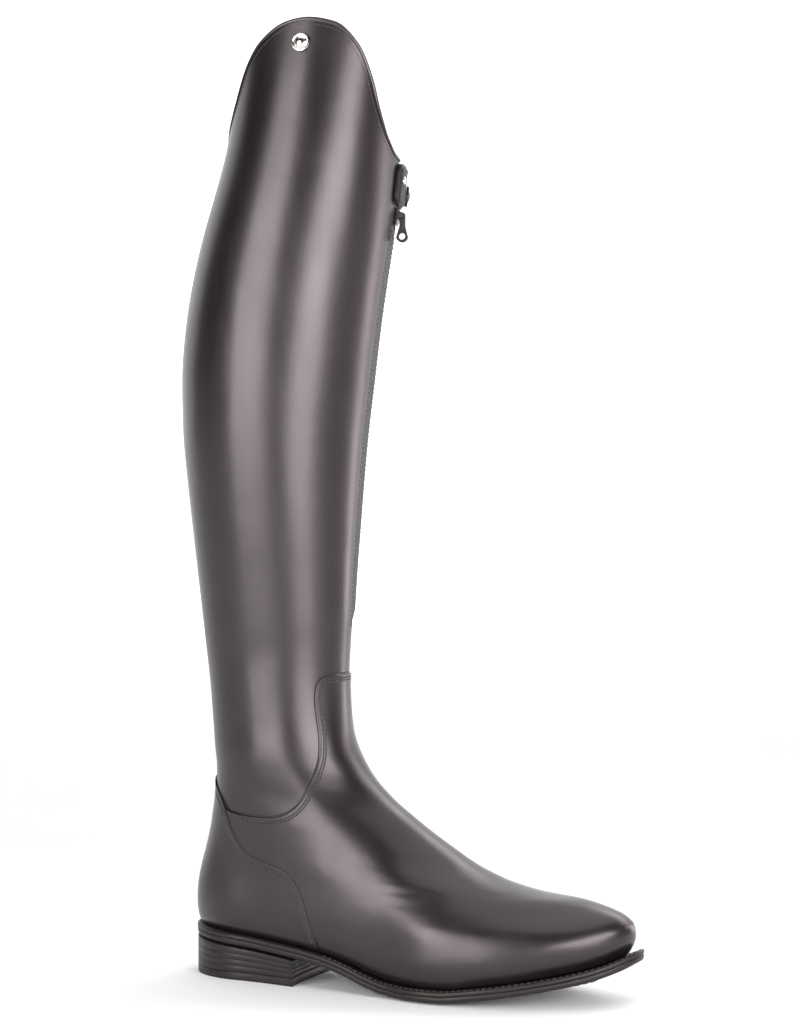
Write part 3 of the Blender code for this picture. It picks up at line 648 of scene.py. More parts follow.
def make_calf(name, dark, light, roughness):
    """Polished calf: fine pores, faint clouds of colour and a soft wax coat."""
    nodes = Nodes(name)
    clouds = nodes.noise(9.0, 3.0, (1.0, 1.0, 0.5))
    nodes.set(Base_Color=nodes.blend(nodes.spread(clouds, 0.0, 1.0), dark, light))
    streaks = nodes.noise(55.0, 4.0, (1.0, 1.0, 0.35))
    nodes.set(Roughness=nodes.spread(streaks, roughness - 0.03, roughness + 0.05))
    pores = nodes.bump(nodes.cells(1500.0), 0.00006, 0.35)
    grain = nodes.bump(nodes.noise(420.0, 4.0), 0.0001, 0.35, Normal=pores)
    nodes.set(Normal=nodes.bump(nodes.noise(38.0, 2.0), 0.0007, 0.35, Normal=grain))
    nodes.set(Specular_IOR_Level=0.55, Specular_Tint=(1.0, 0.87, 0.90, 1.0))
    nodes.set(Coat_Weight=0.12, Coat_Roughness=0.24)
    return nodes.material


def make_lining():
    nodes = Nodes("lining_leather")
    clouds = nodes.spread(nodes.noise(24.0, 3.0), 0.0, 1.0)
    nodes.set(Base_Color=nodes.blend(clouds, (0.045, 0.038, 0.036), (0.075, 0.064, 0.060)))
    nodes.set(Normal=nodes.bump(nodes.noise(650.0, 3.0), 0.00012, 0.6), Roughness=0.62)
    return nodes.material


def make_sole_edge(name, dark, light, roughness):
    nodes = Nodes(name)
    layers = nodes.noise(60.0, 3.0, (0.6, 0.6, 3.0))
    nodes.set(Base_Color=nodes.blend(nodes.spread(layers, 0.0, 1.0), dark, light))
    wear = nodes.noise(180.0, 3.0)
    nodes.set(Roughness=nodes.spread(wear, roughness - 0.05, roughness + 0.08))
    nodes.set(Normal=nodes.bump(nodes.noise(260.0, 4.0, (1.0, 1.0, 3.0)), 0.00012, 0.3))
    nodes.set(Specular_IOR_Level=0.42, Specular_Tint=(1.0, 0.87, 0.88, 1.0))
    return nodes.material


def make_thread(name, colour):
    nodes = Nodes(name)
    nodes.set(Base_Color=nodes.blend(nodes.noise(300.0), colour, tuple(c * 1.6 for c in colour)))
    nodes.set(Normal=nodes.bump(nodes.waves(900.0), 0.00008, 0.6), Roughness=0.55)
    return nodes.material


def make_tape():
    nodes = Nodes("woven_tape")
    weave = nodes.waves(420.0, 0.4)
    nodes.set(Base_Color=nodes.blend(weave, (0.05, 0.047, 0.05), (0.11, 0.104, 0.108)))
    nodes.set(Normal=nodes.bump(weave, 0.0002, 0.6), Roughness=0.7)
    return nodes.material


def make_metal(name, colour, roughness):
    nodes = Nodes(name)
    nodes.set(Base_Color=nodes.blend(nodes.noise(80.0), colour, tuple(c * 0.8 for c in colour)))
    wear = nodes.noise(500.0, 3.0)
    nodes.set(Roughness=nodes.spread(wear, roughness - 0.03, roughness + 0.06), Metallic=1.0)
    return nodes.material


CALF = make_calf("black_calf", (0.0045, 0.0033, 0.0035), (0.008, 0.0059, 0.0062), 0.31)
VAMP_CALF = make_calf("black_calf_vamp", (0.0045, 0.0033, 0.0035), (0.008, 0.0059, 0.0062), 0.32)
COUNTER_CALF = make_calf("black_calf_counter", (0.004, 0.003, 0.0032), (0.007, 0.0052, 0.0055), 0.31)
BINDING_CALF = make_calf("binding_calf", (0.006, 0.005, 0.005), (0.010, 0.008, 0.008), 0.34)
TAB_CALF = make_sole_edge("tab_calf", (0.0055, 0.0045, 0.0047), (0.009, 0.007, 0.0074), 0.55)
LINING = make_lining()
SOLE_EDGE = make_sole_edge("sole_rubber", (0.0045, 0.0036, 0.0034), (0.0085, 0.0066, 0.0062), 0.46)
WELT_EDGE = make_sole_edge("welt_leather", (0.005, 0.0039, 0.0037), (0.009, 0.007, 0.0066), 0.42)
THREAD = make_thread("thread", (0.036, 0.030, 0.031))
WELT_THREAD = make_thread("welt_thread", (0.022, 0.017, 0.016))
# Near-black matte for lines of painted shade: beside the overlay edges and under the rows of stitches
SEAM_SHADE = make_thread("painted_seam_shade", (0.0035, 0.003, 0.003))
EDGE_PAINT = make_sole_edge("edge_paint", (0.010, 0.008, 0.008), (0.018, 0.014, 0.014), 0.38)
TAPE = make_tape()
TEETH = make_metal("zip_teeth", (0.13, 0.125, 0.13), 0.42)
STEEL = make_metal("polished_steel", (0.66, 0.64, 0.62), 0.16)
DARK_STEEL = make_metal("dark_steel", (0.045, 0.042, 0.044), 0.27)


# Upper

def upper_heights():
    foot = np.arange(LOWEST, ANKLE_HEIGHT, FOOT_STEP)
    leg = np.arange(ANKLE_HEIGHT, COLLAR_START, LEG_STEP)
    return np.concatenate((foot, leg, [COLLAR_START]))


def slot_turns(heights):
    """Turns of every column: two columns follow the zip slot's edges up the leg."""
    base = np.arange(UPPER_COLUMNS) / UPPER_COLUMNS
    half = ZIP_OPENING / 2.0
    first = int(round(SLOT_TURN * UPPER_COLUMNS))
    start, end = SLOT_SPREAD
    anchors = [start, first / UPPER_COLUMNS, (first + SLOT_COLUMNS) / UPPER_COLUMNS, end]
    inside = (base > start) & (base < end)
    turns = np.tile(base, (len(heights), 1))
    for row, height in enumerate(np.maximum(heights, ZIP_FOOT)):
        edges = [leg_turn(ZIP_LINE - half, height), leg_turn(ZIP_LINE + half, height)]
        turns[row, inside] = np.interp(base[inside], anchors, [start, *edges, end])
    return turns, first


def make_upper():
    level = upper_heights()
    turns, first = slot_turns(level)
    heights = np.repeat(level[:, None], UPPER_COLUMNS, axis=1)
    top_turns, _ = slot_turns(np.array([SLOT_HEAD]))
    rows_up = []
    rows_turn = []
    for step in range(1, COLLAR_ROWS + 1):
        share = step / COLLAR_ROWS
        row_turn = turns[-1] * (1.0 - share) + top_turns[0] * share
        goal = collar_height(row_turn)
        rows_turn.append(row_turn)
        rows_up.append(COLLAR_START + (goal - COLLAR_START) * share)
    turns = np.concatenate((turns, np.array(rows_turn)))
    heights = np.concatenate((heights, np.array(rows_up)))
    holes = np.zeros((len(heights) - 1, UPPER_COLUMNS), bool)
    holes[heights[:-1, 0] >= ZIP_FOOT, first:first + SLOT_COLUMNS] = True
    outer = skin_point(turns, heights, 0.0)
    inner = skin_point(turns, heights, -UPPER_WALL)
    piece = add_shell("upper_leather", outer, inner, [CALF, LINING], holes)
    ride(piece, "leather", "upper")


def smooth_path(corners, steps):
    """Points along a curve through the corners, by the same rule as the CAD source."""
    path = []
    last = len(corners) - 1
    for i in range(last):
        before = corners[max(i - 1, 0)]
        here = corners[i]
        there = corners[i + 1]
        after = corners[min(i + 2, last)]
        for step in range(steps):
            s = step / steps
            point = []
            for axis in range(2):
                start = (there[axis] - before[axis]) / 2.0
                end = (after[axis] - here[axis]) / 2.0
                rise = s * s * (3.0 - 2.0 * s)
                value = here[axis] * (1.0 - rise) + there[axis] * rise
                value += s * (1.0 - s) * (1.0 - s) * start - s * s * (1.0 - s) * end
                point.append(value)
            path.append(tuple(point))
    path.append(tuple(corners[-1]))
    return path


def side_prism(name, outline):
    """Prism across the whole boot with an outline seen from the side."""
    reach = 90.0
    count = len(outline)
    points = [(x, -reach, z) for x, z in outline] + [(x, reach, z) for x, z in outline]
    area = 0.0
    for i, (x, z) in enumerate(outline):
        after = outline[(i + 1) % count]
        area += x * after[1] - after[0] * z
    faces = []
    for i in range(count):
        after = (i + 1) % count
        faces.append((after, i, count + i, count + after))
    faces.append(tuple(range(count)))
    faces.append(tuple(range(2 * count - 1, count - 1, -1)))
    if area < 0.0:
        faces = [face[::-1] for face in faces]
    return add_mesh(name, points, faces, [CALF], sharp=None)


def trim_to(piece, cutter):
    """Keeps the part of a piece that lies inside a cutter."""
    modifier = piece.modifiers.new("cut", "BOOLEAN")
    modifier.operation = "INTERSECT"
    modifier.solver = "EXACT"
    modifier.object = cutter
    graph = bpy.context.evaluated_depsgraph_get()
    mesh = bpy.data.meshes.new_from_object(piece.evaluated_get(graph))
    piece.modifiers.clear()
    piece.data = mesh
    bpy.data.objects.remove(cutter, do_unlink=True)


def layer_at(layer, heights):
    """Thickness of an overlay, which thins out above the foot."""
    return layer - (layer - THIN_LAYER) * smooth_step((heights - THIN_FROM) / THIN_OVER)


def make_overlay(name, node, layer, outline, material):
    rows = np.arange(LOWEST + FOOT_STEP, OVERLAY_ROW, FOOT_STEP)
    heights = np.concatenate(([OVERLAY_FOOT], rows))
    turns = np.arange(UPPER_COLUMNS) / UPPER_COLUMNS
    outer = skin_point(turns[None, :], heights[:, None], layer_at(layer, heights)[:, None])
    inner = skin_point(turns[None, :], heights[:, None], GAP)
    piece = add_shell(name, outer, inner, [material])
    trim_to(piece, side_prism(name + "_cutter", outline))
    piece.data.set_sharp_from_angle(angle=math.radians(35))
    ride(piece, "leather", node)
    return piece


def counter_outline():
    edge = smooth_path(COUNTER_EDGE, 8)
    return [(-20.0, COUNTER_EDGE[0][1])] + edge + [(COUNTER_EDGE[-1][0], 0.0), (-20.0, 0.0)]


def vamp_outline():
    reach = 300.0
    peak = VAMP_EDGE[-1][1]
    counter = [(x + SEAM_GAP, z) for x, z in smooth_path(COUNTER_EDGE, 8)]
    behind = [point for point in counter if point[1] < VAMP_EDGE[0][1]]
    edge = [point for point in smooth_path(VAMP_EDGE, 8) if point[0] > behind[0][0] + 1.5]
    return edge + [(reach, peak), (reach, 0.0), (behind[-1][0], 0.0)] + behind[::-1]


# Seams: rolled edges, lines of painted shade and rows of thread

def surface_tree(piece):
    """Search tree of a piece's faces, in millimetres from the heel's back edge."""
    mesh = piece.data
    corners = [vertex.co / MM + Vector((HEEL_CENTRE, 0.0, 0.0)) for vertex in mesh.vertices]
    return BVHTree.FromPolygons(corners, [tuple(face.vertices) for face in mesh.polygons])


def settle(tree, points):
    """Nearest places on a surface, with its normals."""
    found = [tree.find_nearest(Vector(point)) for point in points]
    places = np.array([tuple(hit[0]) for hit in found])
    normals = np.array([tuple(hit[1]) for hit in found])
    return places, normals


def side_path(corners, side):
    """Path on the leather, with normals, under points given by their side view."""
    corners = np.array(smooth_path(corners, 10))
    turn, key = find_on_side(corners[:, 0], corners[:, 1], side)
    return skin_point(turn, key, 0.0), surface_normal(turn, key)


def seam_of(corners):
    """Path over both sides of the boot: up the outer side and down the inner side."""
    outer, outer_normals = side_path(corners, -1)
    inner, inner_normals = side_path(corners, 1)
    path = np.concatenate((outer, inner[::-1][1:]))
    normals = np.concatenate((outer_normals, inner_normals[::-1][1:]))
    return even_path(path, normals, 1.0)


def even_path(path, normals, pitch):
    kept = np.concatenate(([True], np.linalg.norm(np.diff(path, axis=0), axis=1) > 1e-4))
    return resample(path[kept], normals[kept], pitch)


def beside(path, normals, distance):
    """Path moved over the surface, to the left of its run when seen from outside."""
    _, _, across = path_frames(path, normals)
    return path - across * distance


def lay_tube(name, path, normals, wide, high, material, sides=8):
    """Rolled edge on the leather, or a dark tube of painted shade beside a seam or under stitches."""
    ride(add_tube(name, path, normals, wide, high, material, sides), "leather")


def sew(name, path, normals, stitch):
    """Row of stitches on the leather."""
    ride(add_stitches(name, path, normals, stitch, THREAD), "leather")


def sew_rows(name, tree, path, normals, distances):
    """Rows of stitches beside a seam, laid on a piece's surface, each on a dark line of painted groove
    shade.
    """
    for number, distance in enumerate(distances, 1):
        row, row_normals = settle(tree, beside(path, normals, distance) + normals * SETTLE_LIFT)
        # Painted shade of the stitch groove: a dark line under each row of stitches
        lay_tube(f"{name}_groove_shade_{number}", row, row_normals, 0.46, 0.07, SEAM_SHADE, 6)
        sew(f"{name}_stitches_{number}", row, row_normals, SEAM_STITCH)


def make_vamp_seam(vamp):
    path, normals = seam_of([point for point in VAMP_EDGE if point[0] > VAMP_SEAM_START])
    lay_tube("vamp_edge", path + normals * ROLL_SINK, normals, 0.5, 0.68, CALF)
    # Dark line of painted shadow beside the vamp's edge
    shadow = beside(path, normals, -SHADOW_GAP * VAMP_SIDE) + normals * SHADOW_LIFT
    lay_tube("vamp_shadow", shadow, normals, 0.62, 0.08, SEAM_SHADE, 6)
    sew_rows("vamp", surface_tree(vamp), path, normals, VAMP_SIDE * np.array([1.9, 3.4]))


def make_counter_seam(counter):
    tree = surface_tree(counter)
    low, high = COUNTER_SEAM_SPAN
    seam = [point for point in COUNTER_EDGE if low < point[1] < high]
    for side, name in ((-1, "outer"), (1, "inner")):
        path, normals = even_path(*side_path(seam, side), 1.0)
        height = path[:, 2:3]
        roll = path + normals * (layer_at(COUNTER_LAYER, height) - ROLL_SINK)
        lay_tube("counter_edge_" + name, roll, normals, 0.5, 0.78, CALF)
        # Dark line of painted shadow beside the counter's edge
        lift = np.where(height < VAMP_EDGE[1][1], VAMP_LAYER, 0.0) + SHADOW_LIFT
        shadow = beside(path, normals, -SHADOW_GAP * COUNTER_SIDE * side) + normals * lift
        lay_tube("counter_shadow_" + name, shadow, normals, 0.6, 0.1, SEAM_SHADE, 6)
        distances = COUNTER_SIDE * side * np.array([1.8, 3.2])
        sew_rows("counter_" + name, tree, path, normals, distances)


# Collar

def make_collar():
    half = ZIP_OPENING / 2.0
    first = leg_turn(ZIP_LINE + half, BINDING_ENDS[0]) + BINDING_CLEARANCE
    last = 1.0 + leg_turn(ZIP_LINE - half, BINDING_ENDS[1]) - BINDING_CLEARANCE
    turns = np.linspace(first, last, 420)
    heights = collar_height(turns)
    here = base_point(turns, heights)
    normals = surface_normal(turns, heights)
    step = 0.003
    ahead = base_point(turns + step, collar_height(turns + step))
    behind = base_point(turns - step, collar_height(turns - step))
    upward = np.cross(normals, ahead - behind)
    upward /= np.linalg.norm(upward, axis=1, keepdims=True)
    profile = [
        (-2.2, 0.3), (0.45, 0.3), (0.68, 0.75), (0.72, 1.3), (0.58, 1.8), (0.18, 2.25),
        (-0.45, 2.52), (-1.1, 2.6), (-1.75, 2.4), (-2.15, 1.9),
    ]
    rows = [here + normals * out + upward * rise for out, rise in profile]
    binding = add_sweep("collar_binding_fold", rows, BINDING_CALF, 50.0)
    ride(binding, "leather", "collar_binding")
    sew("collar_stitches", here - upward * 2.0, normals, COLLAR_STITCH)


# Zip, tab and metal fittings

def front_points(across, heights, offset):
    """Points on the shin a given way to the inner side of the front."""
    turns = leg_turn(across, heights)
    return skin_point(turns, heights, offset), surface_normal(turns, heights)


def add_slab(name, outer, inner, material):
    """Closed slab between two open grids."""
    rows, columns = outer.shape[:2]
    start = rows * columns
    faces = []
    for row in range(rows - 1):
        for i in range(columns - 1):
            a = row * columns + i
            b, c, d = a + 1, a + columns + 1, a + columns
            faces.append((a, b, c, d))
            faces.append((start + d, start + c, start + b, start + a))
    rim = [i for i in range(columns)]
    rim += [row * columns + columns - 1 for row in range(1, rows)]
    rim += [(rows - 1) * columns + i for i in range(columns - 2, -1, -1)]
    rim += [row * columns for row in range(rows - 2, 0, -1)]
    for here, there in zip(rim, rim[1:] + rim[:1]):
        faces.append((there, here, start + here, start + there))
    points = np.concatenate((outer.reshape(-1, 3), inner.reshape(-1, 3)))
    return add_mesh(name, points, faces, [material], sharp=50.0)


def add_bars(name, bars, material):
    """Many small blocks: each has a centre and three half axes."""
    points = []
    faces = []
    square = [(-1, -1), (1, -1), (1, 1), (-1, 1)]
    signs = [(x, y, -1) for x, y in square]
    signs += [(BAR_TAPER * x, BAR_TAPER * y, 1) for x, y in square]
    sides = [(0, 3, 2, 1), (4, 5, 6, 7), (0, 1, 5, 4), (1, 2, 6, 5), (2, 3, 7, 6), (3, 0, 4, 7)]
    for centre, x_half, y_half, z_half in bars:
        base = len(points)
        for x, y, z in signs:
            points.append(centre + x_half * x + y_half * y + z_half * z)
        faces += [tuple(base + corner for corner in side) for side in sides]
    return add_mesh(name, np.array(points), faces, [material], sharp=30.0)


def zip_bulge(across, heights):
    """Height of the closed zip over the leather; it lies flat at its slider and its foot."""
    swell = smooth_step((heights - ZIP_FOOT) / 12.0)
    swell = swell * smooth_step((SLIDER_HEIGHT - 6.0 - heights) / 10.0)
    return -0.7 + (ZIP_SWELL * (1.0 - across ** 2)) * swell


def make_zip():
    heights = np.arange(ZIP_FOOT + GAP, TAPE_HEAD, 2.0)
    across = np.linspace(-1.0, 1.0, 13)
    bulge = zip_bulge(across[None, :], heights[:, None])
    across = ZIP_LINE + TAPE_HALF * across
    outer, _ = front_points(across[None, :], heights[:, None], bulge)
    inner, _ = front_points(across[None, :], heights[:, None], TAPE_BACK)
    ride(add_slab("zip_tape_cloth", outer, inner, TAPE), "tape", "zip_tape")
    bars = []
    heights = np.arange(ZIP_FOOT + 1.5, SLIDER_HEIGHT - 7.0, TOOTH_PITCH)
    points, normals = front_points(ZIP_LINE, heights, zip_bulge(0.0, heights) + 0.05)
    tangents, normals, sides = path_frames(points, normals)
    for number, (point, tangent, normal, side) in enumerate(zip(points, tangents, normals, sides)):
        sign = 1.0 if number % 2 else -1.0
        lean = (side + tangent * 0.5 * sign) * 1.5
        bars.append((point + side * 0.85 * sign, lean, tangent * 0.5, normal * 0.2))
    ride(add_bars("zip_tooth_row", bars, TEETH), "tape")
    half = ZIP_OPENING / 2.0
    heights = np.arange(ZIP_FOOT, SLOT_END, 1.5)
    for sign, name in ((-1.0, "outer"), (1.0, "inner")):
        edge = ZIP_LINE + sign * half
        path, normals = front_points(edge, heights, PAINT_DEPTH)
        lay_tube("zip_edge_" + name, path, normals, *PAINT_SIZE, EDGE_PAINT)
        path, normals = front_points(edge + sign * 2.2, heights, 0.0)
        sew("zip_stitches_" + name, path, normals, ZIP_STITCH)
    across = np.linspace(ZIP_LINE - half, ZIP_LINE + half, 12)
    path, normals = front_points(across, np.full(12, ZIP_FOOT), PAINT_DEPTH)
    lay_tube("zip_foot_edge", path, normals, *PAINT_SIZE, EDGE_PAINT)


def tab_point(share, rise, offset):
    """Point on the tab: share runs along it and rise across it, both from -1 to 1."""
    end = np.clip((np.abs(share) - TAB_STRAIGHT) / (1.0 - TAB_STRAIGHT), 0.0, 1.0)
    half = (TAB_HEAD - TAB_FOOT) / 2.0 * (0.35 + 0.65 * np.sqrt(np.maximum(1.0 - end ** 2.6, 0.0)))
    heights = (TAB_HEAD + TAB_FOOT) / 2.0 + rise * half + TAB_RISE * np.maximum(rise, 0.0)
    turns = leg_turn(TAB_LINE + share * TAB_LENGTH / 2.0, heights)
    return skin_point(turns, heights, offset), surface_normal(turns, heights)


def make_tab():
    low = GAP + TAB_SLACK
    shares = np.sin(np.linspace(-1.0, 1.0, 49) * np.pi / 2.0)
    rises = np.sin(np.linspace(-1.0, 1.0, 17) * np.pi / 2.0)
    share, rise = np.meshgrid(shares, rises)
    edge = np.maximum(np.abs(share), np.abs(rise))
    thick = TAB_THICKNESS * (1.0 - 0.42 * smooth_step((edge - 0.82) / 0.18))
    outer, _ = tab_point(share, rise, low + thick)
    inner, _ = tab_point(share, rise, np.full(share.shape, low))
    tab = add_slab("snap_tab_leather", outer, inner, TAB_CALF)
    ride(tab, "leather", "snap_tab")
    inset_share = 0.86
    inset_rise = 0.78
    corner = np.linspace(-1.0, 1.0, 40)
    loop = [(value * inset_share, -inset_rise) for value in corner]
    loop += [(inset_share, value * inset_rise) for value in corner[10:-10]]
    loop += [(-value * inset_share, inset_rise) for value in corner]
    loop += [(-inset_share, -value * inset_rise) for value in corner[10:-10]]
    loop = np.array(loop + loop[:1])
    path, normals = tab_point(loop[:, 0], loop[:, 1], low + TAB_THICKNESS)
    path, normals = even_path(path, normals, 0.8)
    sew("tab_stitches", path, normals, TAB_STITCH)


def face_matrix(turn, height, offset):
    """Frame on the upper's face: X to the side, Y up the face and Z outwards."""
    normal = Vector(surface_normal(turn, height))
    upward = Vector(base_point(turn, height + 1.0) - base_point(turn, height - 1.0))
    upward = (upward - normal * upward.dot(normal)).normalized()
    matrix = Matrix((upward.cross(normal), upward, normal)).transposed().to_4x4()
    matrix.translation = Vector(base_point(turn, height)) + normal * offset
    return matrix


def add_turned(name, profile, matrix, material, segments=56):
    """Turned piece on the Z axis of a frame, from radii and heights."""
    loops = []
    for radius, rise in profile:
        loop = []
        for i in range(segments):
            angle = 2.0 * math.pi * i / segments
            local = Vector((radius * math.cos(angle), radius * math.sin(angle), rise))
            loop.append(tuple(matrix @ local))
        loops.append(loop)
    return add_loops(name, loops, True, [material], sharp=38.0)


def make_fittings():
    top = 2.0 * GAP + TAB_SLACK + TAB_THICKNESS
    turn = float(leg_turn(SNAP_LINE, SNAP_HEIGHT))
    profile = [
        (6.3, 0.0), (6.5, 0.3), (6.5, 0.95), (6.3, 1.3), (5.8, 1.46), (5.3, 1.4), (4.95, 1.15),
        (4.6, 1.1), (4.2, 1.35), (3.4, 1.85), (2.3, 2.3), (1.1, 2.55), (0.05, 2.6),
    ]
    cap = add_turned("snap_cap_dome", profile, face_matrix(turn, SNAP_HEIGHT, top), DARK_STEEL)
    ride(cap, "dark_steel", "snap_cap")
    turn = float(leg_turn(RIVET_LINE, RIVET_HEIGHT))
    profile = [(2.4, 0.0), (2.4, 0.4), (2.2, 0.7), (1.8, 0.95), (1.1, 1.15), (0.05, 1.2)]
    rivet = add_turned("tab_rivet_head", profile, face_matrix(turn, RIVET_HEIGHT, top), STEEL)
    ride(rivet, "steel", "tab_rivet")
    profile = [
        (5.3, 0.0), (5.5, 0.3), (5.5, 0.9), (5.3, 1.2), (4.9, 1.32), (4.5, 1.15), (4.25, 0.85),
        (4.0, 0.8), (3.75, 1.0), (3.2, 1.5), (2.3, 2.0), (1.2, 2.32), (0.05, 2.4),
    ]
    stud = add_turned("arch_stud_dome", profile, face_matrix(STUD_TURN, STUD_LEVEL, GAP), STEEL)
    ride(stud, "steel", "arch_stud")


# Sole

def sole_outline(inset):
    """Plan of the sole as a loop from the back, over the outer side, to the toe."""
    angle = 2.0 * np.pi * np.arange(SOLE_COLUMNS) / SOLE_COLUMNS
    along = (1.0 - np.cos(angle)) / 2.0
    station = along * SOLE_LENGTH
    width = rounded(station, HEEL_ROUNDING, 2.0)
    width = width * rounded(SOLE_LENGTH - station, TOE_ROUNDING, TOE_POWER)
    outer = np.sin(angle) >= 0.0
    plan = np.where(outer, -PLAN.read("outer", station), PLAN.read("inner", station))
    middle = TOE_TIP_SHIFT * smooth_step(along)
    return inset_loop(np.stack((station, middle + (plan - middle) * width), axis=1), inset)


def inset_loop(loop, inset):
    along = np.roll(loop, -1, axis=0) - np.roll(loop, 1, axis=0)
    inward = np.stack((-along[:, 1], along[:, 0]), axis=1)
    inward /= np.linalg.norm(inward, axis=1, keepdims=True)
    return loop + inward * inset


def sole_loop(inset, rise):
    """Loop of the sole's plan a given way above its underside."""
    loop = sole_outline(inset)
    height = underside(loop[:, 0]) + rise
    return np.concatenate((loop, height[:, None]), axis=1)


def add_sole_solid(name, loops, capped, material):
    """Solid from loops of the sole's plan, with strips across its two ends."""
    count = SOLE_COLUMNS
    faces = []
    for i in range(len(loops) - 1):
        faces += ring(i * count, (i + 1) * count, count)
    top = (len(loops) - 1) * count
    if capped:
        for start, upward in ((0, False), (top, True)):
            for i in range(count // 2):
                far = count - i
                pair = [start + i, start + i + 1, start + far - 1, start + far % count]
                corners = [corner for n, corner in enumerate(pair) if corner not in pair[:n]]
                faces.append(tuple(corners if upward else corners[::-1]))
    else:
        faces += ring(top, 0, count)
    return add_mesh(name, np.concatenate(loops), faces, [material], sharp=40.0)


def make_welt():
    low = EDGE_THICKNESS - WELT_THICKNESS
    profile = [
        (WELT_WIDTH, low), (0.7, low), (0.25, low + 0.15), (0.0, low + 0.6), (0.0, low + 1.7),
        (0.15, low + 2.3), (0.5, low + 2.7), (1.0, EDGE_THICKNESS), (WELT_STITCH - 0.6, EDGE_THICKNESS),
        (WELT_STITCH - 0.35, EDGE_THICKNESS - 0.32), (WELT_STITCH + 0.35, EDGE_THICKNESS - 0.32),
        (WELT_STITCH + 0.6, EDGE_THICKNESS), (WELT_WIDTH, EDGE_THICKNESS),
    ]
    loops = [sole_loop(inset, rise) for inset, rise in profile]
    ride(add_sole_solid("welt_strip", loops, False, WELT_EDGE), "welt", "welt")
    row = sole_loop(WELT_STITCH, EDGE_THICKNESS - 0.12)
    row = row[row[:, 0] > WELT_STITCH_START]
    normals = np.tile([0.0, 0.0, 1.0], (len(row), 1))
    row, normals = even_path(row, normals, 1.0)
    # Painted shade in the welt's stitch channel: a dark line under the welt's stitches
    ride(add_tube("welt_groove_shade", row, normals, 0.75, 0.14, SEAM_SHADE, sides=6), "welt")
    ride(add_stitches("welt_stitches", row, normals, SOLE_STITCH, WELT_THREAD), "welt")


def make_outsole():
    profile = [
        (2.6, TREAD_DEPTH), (1.3, TREAD_DEPTH), (0.8, TREAD_DEPTH + 0.15), (0.4, 1.9),
        (0.15, 2.8), (0.1, 3.8), (0.3, 4.45), (0.9, 4.8),
    ]
    loops = [sole_loop(inset, rise) for inset, rise in profile]
    ride(add_sole_solid("outsole_body", loops, True, SOLE_EDGE), "sole", "outsole")
    outline = sole_outline(1.2)
    half = SOLE_COLUMNS // 2
    outer = outline[1:half]
    inner = outline[:half:-1]
    bars = []
    for station in np.arange(TREAD_START, TREAD_END, TREAD_PITCH):
        first = np.interp(station, outer[:, 0], outer[:, 1])
        last = np.interp(station, inner[:, 0], inner[:, 1])
        slope = (underside(station + 1.0) - underside(station - 1.0)) / 2.0
        centre = np.array([station, (first + last) / 2.0, underside(station) + RIB_HALF_RISE])
        along = np.array([1.0, 0.0, slope]) * TREAD_PITCH * 0.3
        across = np.array([0.0, (last - first) / 2.0, 0.0])
        bars.append((centre, along, across, np.array([0.0, 0.0, -RIB_HALF_RISE])))
    ride(add_bars("tread_ribs", bars, SOLE_EDGE), "sole")


def heel_loop(inset, height):
    """D-shaped loop of the heel: round back, sides and slightly hollow breast."""
    side_count = 60
    bow_count = 16
    share = np.arange(side_count + 1) / side_count
    station = HEEL_LENGTH * (1.0 - np.cos(np.pi / 2.0 * share))
    width = rounded(station, HEEL_ROUNDING, 2.0)
    outer = np.stack((station, -PLAN.read("outer", station) * width), axis=1)
    inner = np.stack((station, PLAN.read("inner", station) * width), axis=1)
    share = np.arange(1, bow_count) / bow_count
    bow = HEEL_BREAST_BOW * 4.0 * share * (1.0 - share)
    across = outer[-1, 1] + (inner[-1, 1] - outer[-1, 1]) * share
    breast = np.stack((HEEL_LENGTH - bow, across), axis=1)
    loop = inset_loop(np.concatenate((outer, breast, inner[:0:-1])), inset)
    level = height(loop[:, 0]) if callable(height) else np.full(len(loop), height)
    return np.concatenate((loop, level[:, None]), axis=1)


def make_heel():
    def at_share(share):
        return lambda station: HEEL_TOP_LIFT + share * (
            underside(np.maximum(station, 0.0)) - GAP - HEEL_TOP_LIFT
        )

    loops = [heel_loop(0.5, at_share(0.0))]
    for layer in range(HEEL_LAYERS):
        low = layer / HEEL_LAYERS
        high = (layer + 1) / HEEL_LAYERS
        loops.append(heel_loop(0.4, at_share(low + 0.015)))
        loops.append(heel_loop(0.4, at_share(high - 0.015)))
        loops.append(heel_loop(0.5, at_share(high)))
    ride(add_loops("heel_stack", loops, True, [WELT_EDGE]), "welt", "heel_block")
    loops = [
        heel_loop(1.0, 0.0), heel_loop(0.6, 0.35), heel_loop(0.45, 1.0), heel_loop(0.35, 4.2),
        heel_loop(0.6, HEEL_TOP_LIFT - GAP),
    ]
    ride(add_loops("heel_lift_rubber", loops, True, [SOLE_EDGE]), "sole", "heel_top_lift")


# Assembly

make_upper()
vamp = make_overlay("vamp_leather", "vamp", VAMP_LAYER, vamp_outline(), VAMP_CALF)
counter = make_overlay("counter_leather", "counter", COUNTER_LAYER, counter_outline(), COUNTER_CALF)
make_vamp_seam(vamp)
make_counter_seam(counter)
make_collar()
make_zip()
make_tab()
make_fittings()
make_welt()
make_outsole()
make_heel()

for node, material in (("insole", LINING), ("zip_slider", DARK_STEEL), ("zip_pull", DARK_STEEL)):
    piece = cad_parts[node]
    piece.data.materials.clear()
    piece.data.materials.append(material)


# Studio

FLOOR_GLOW = 0.5


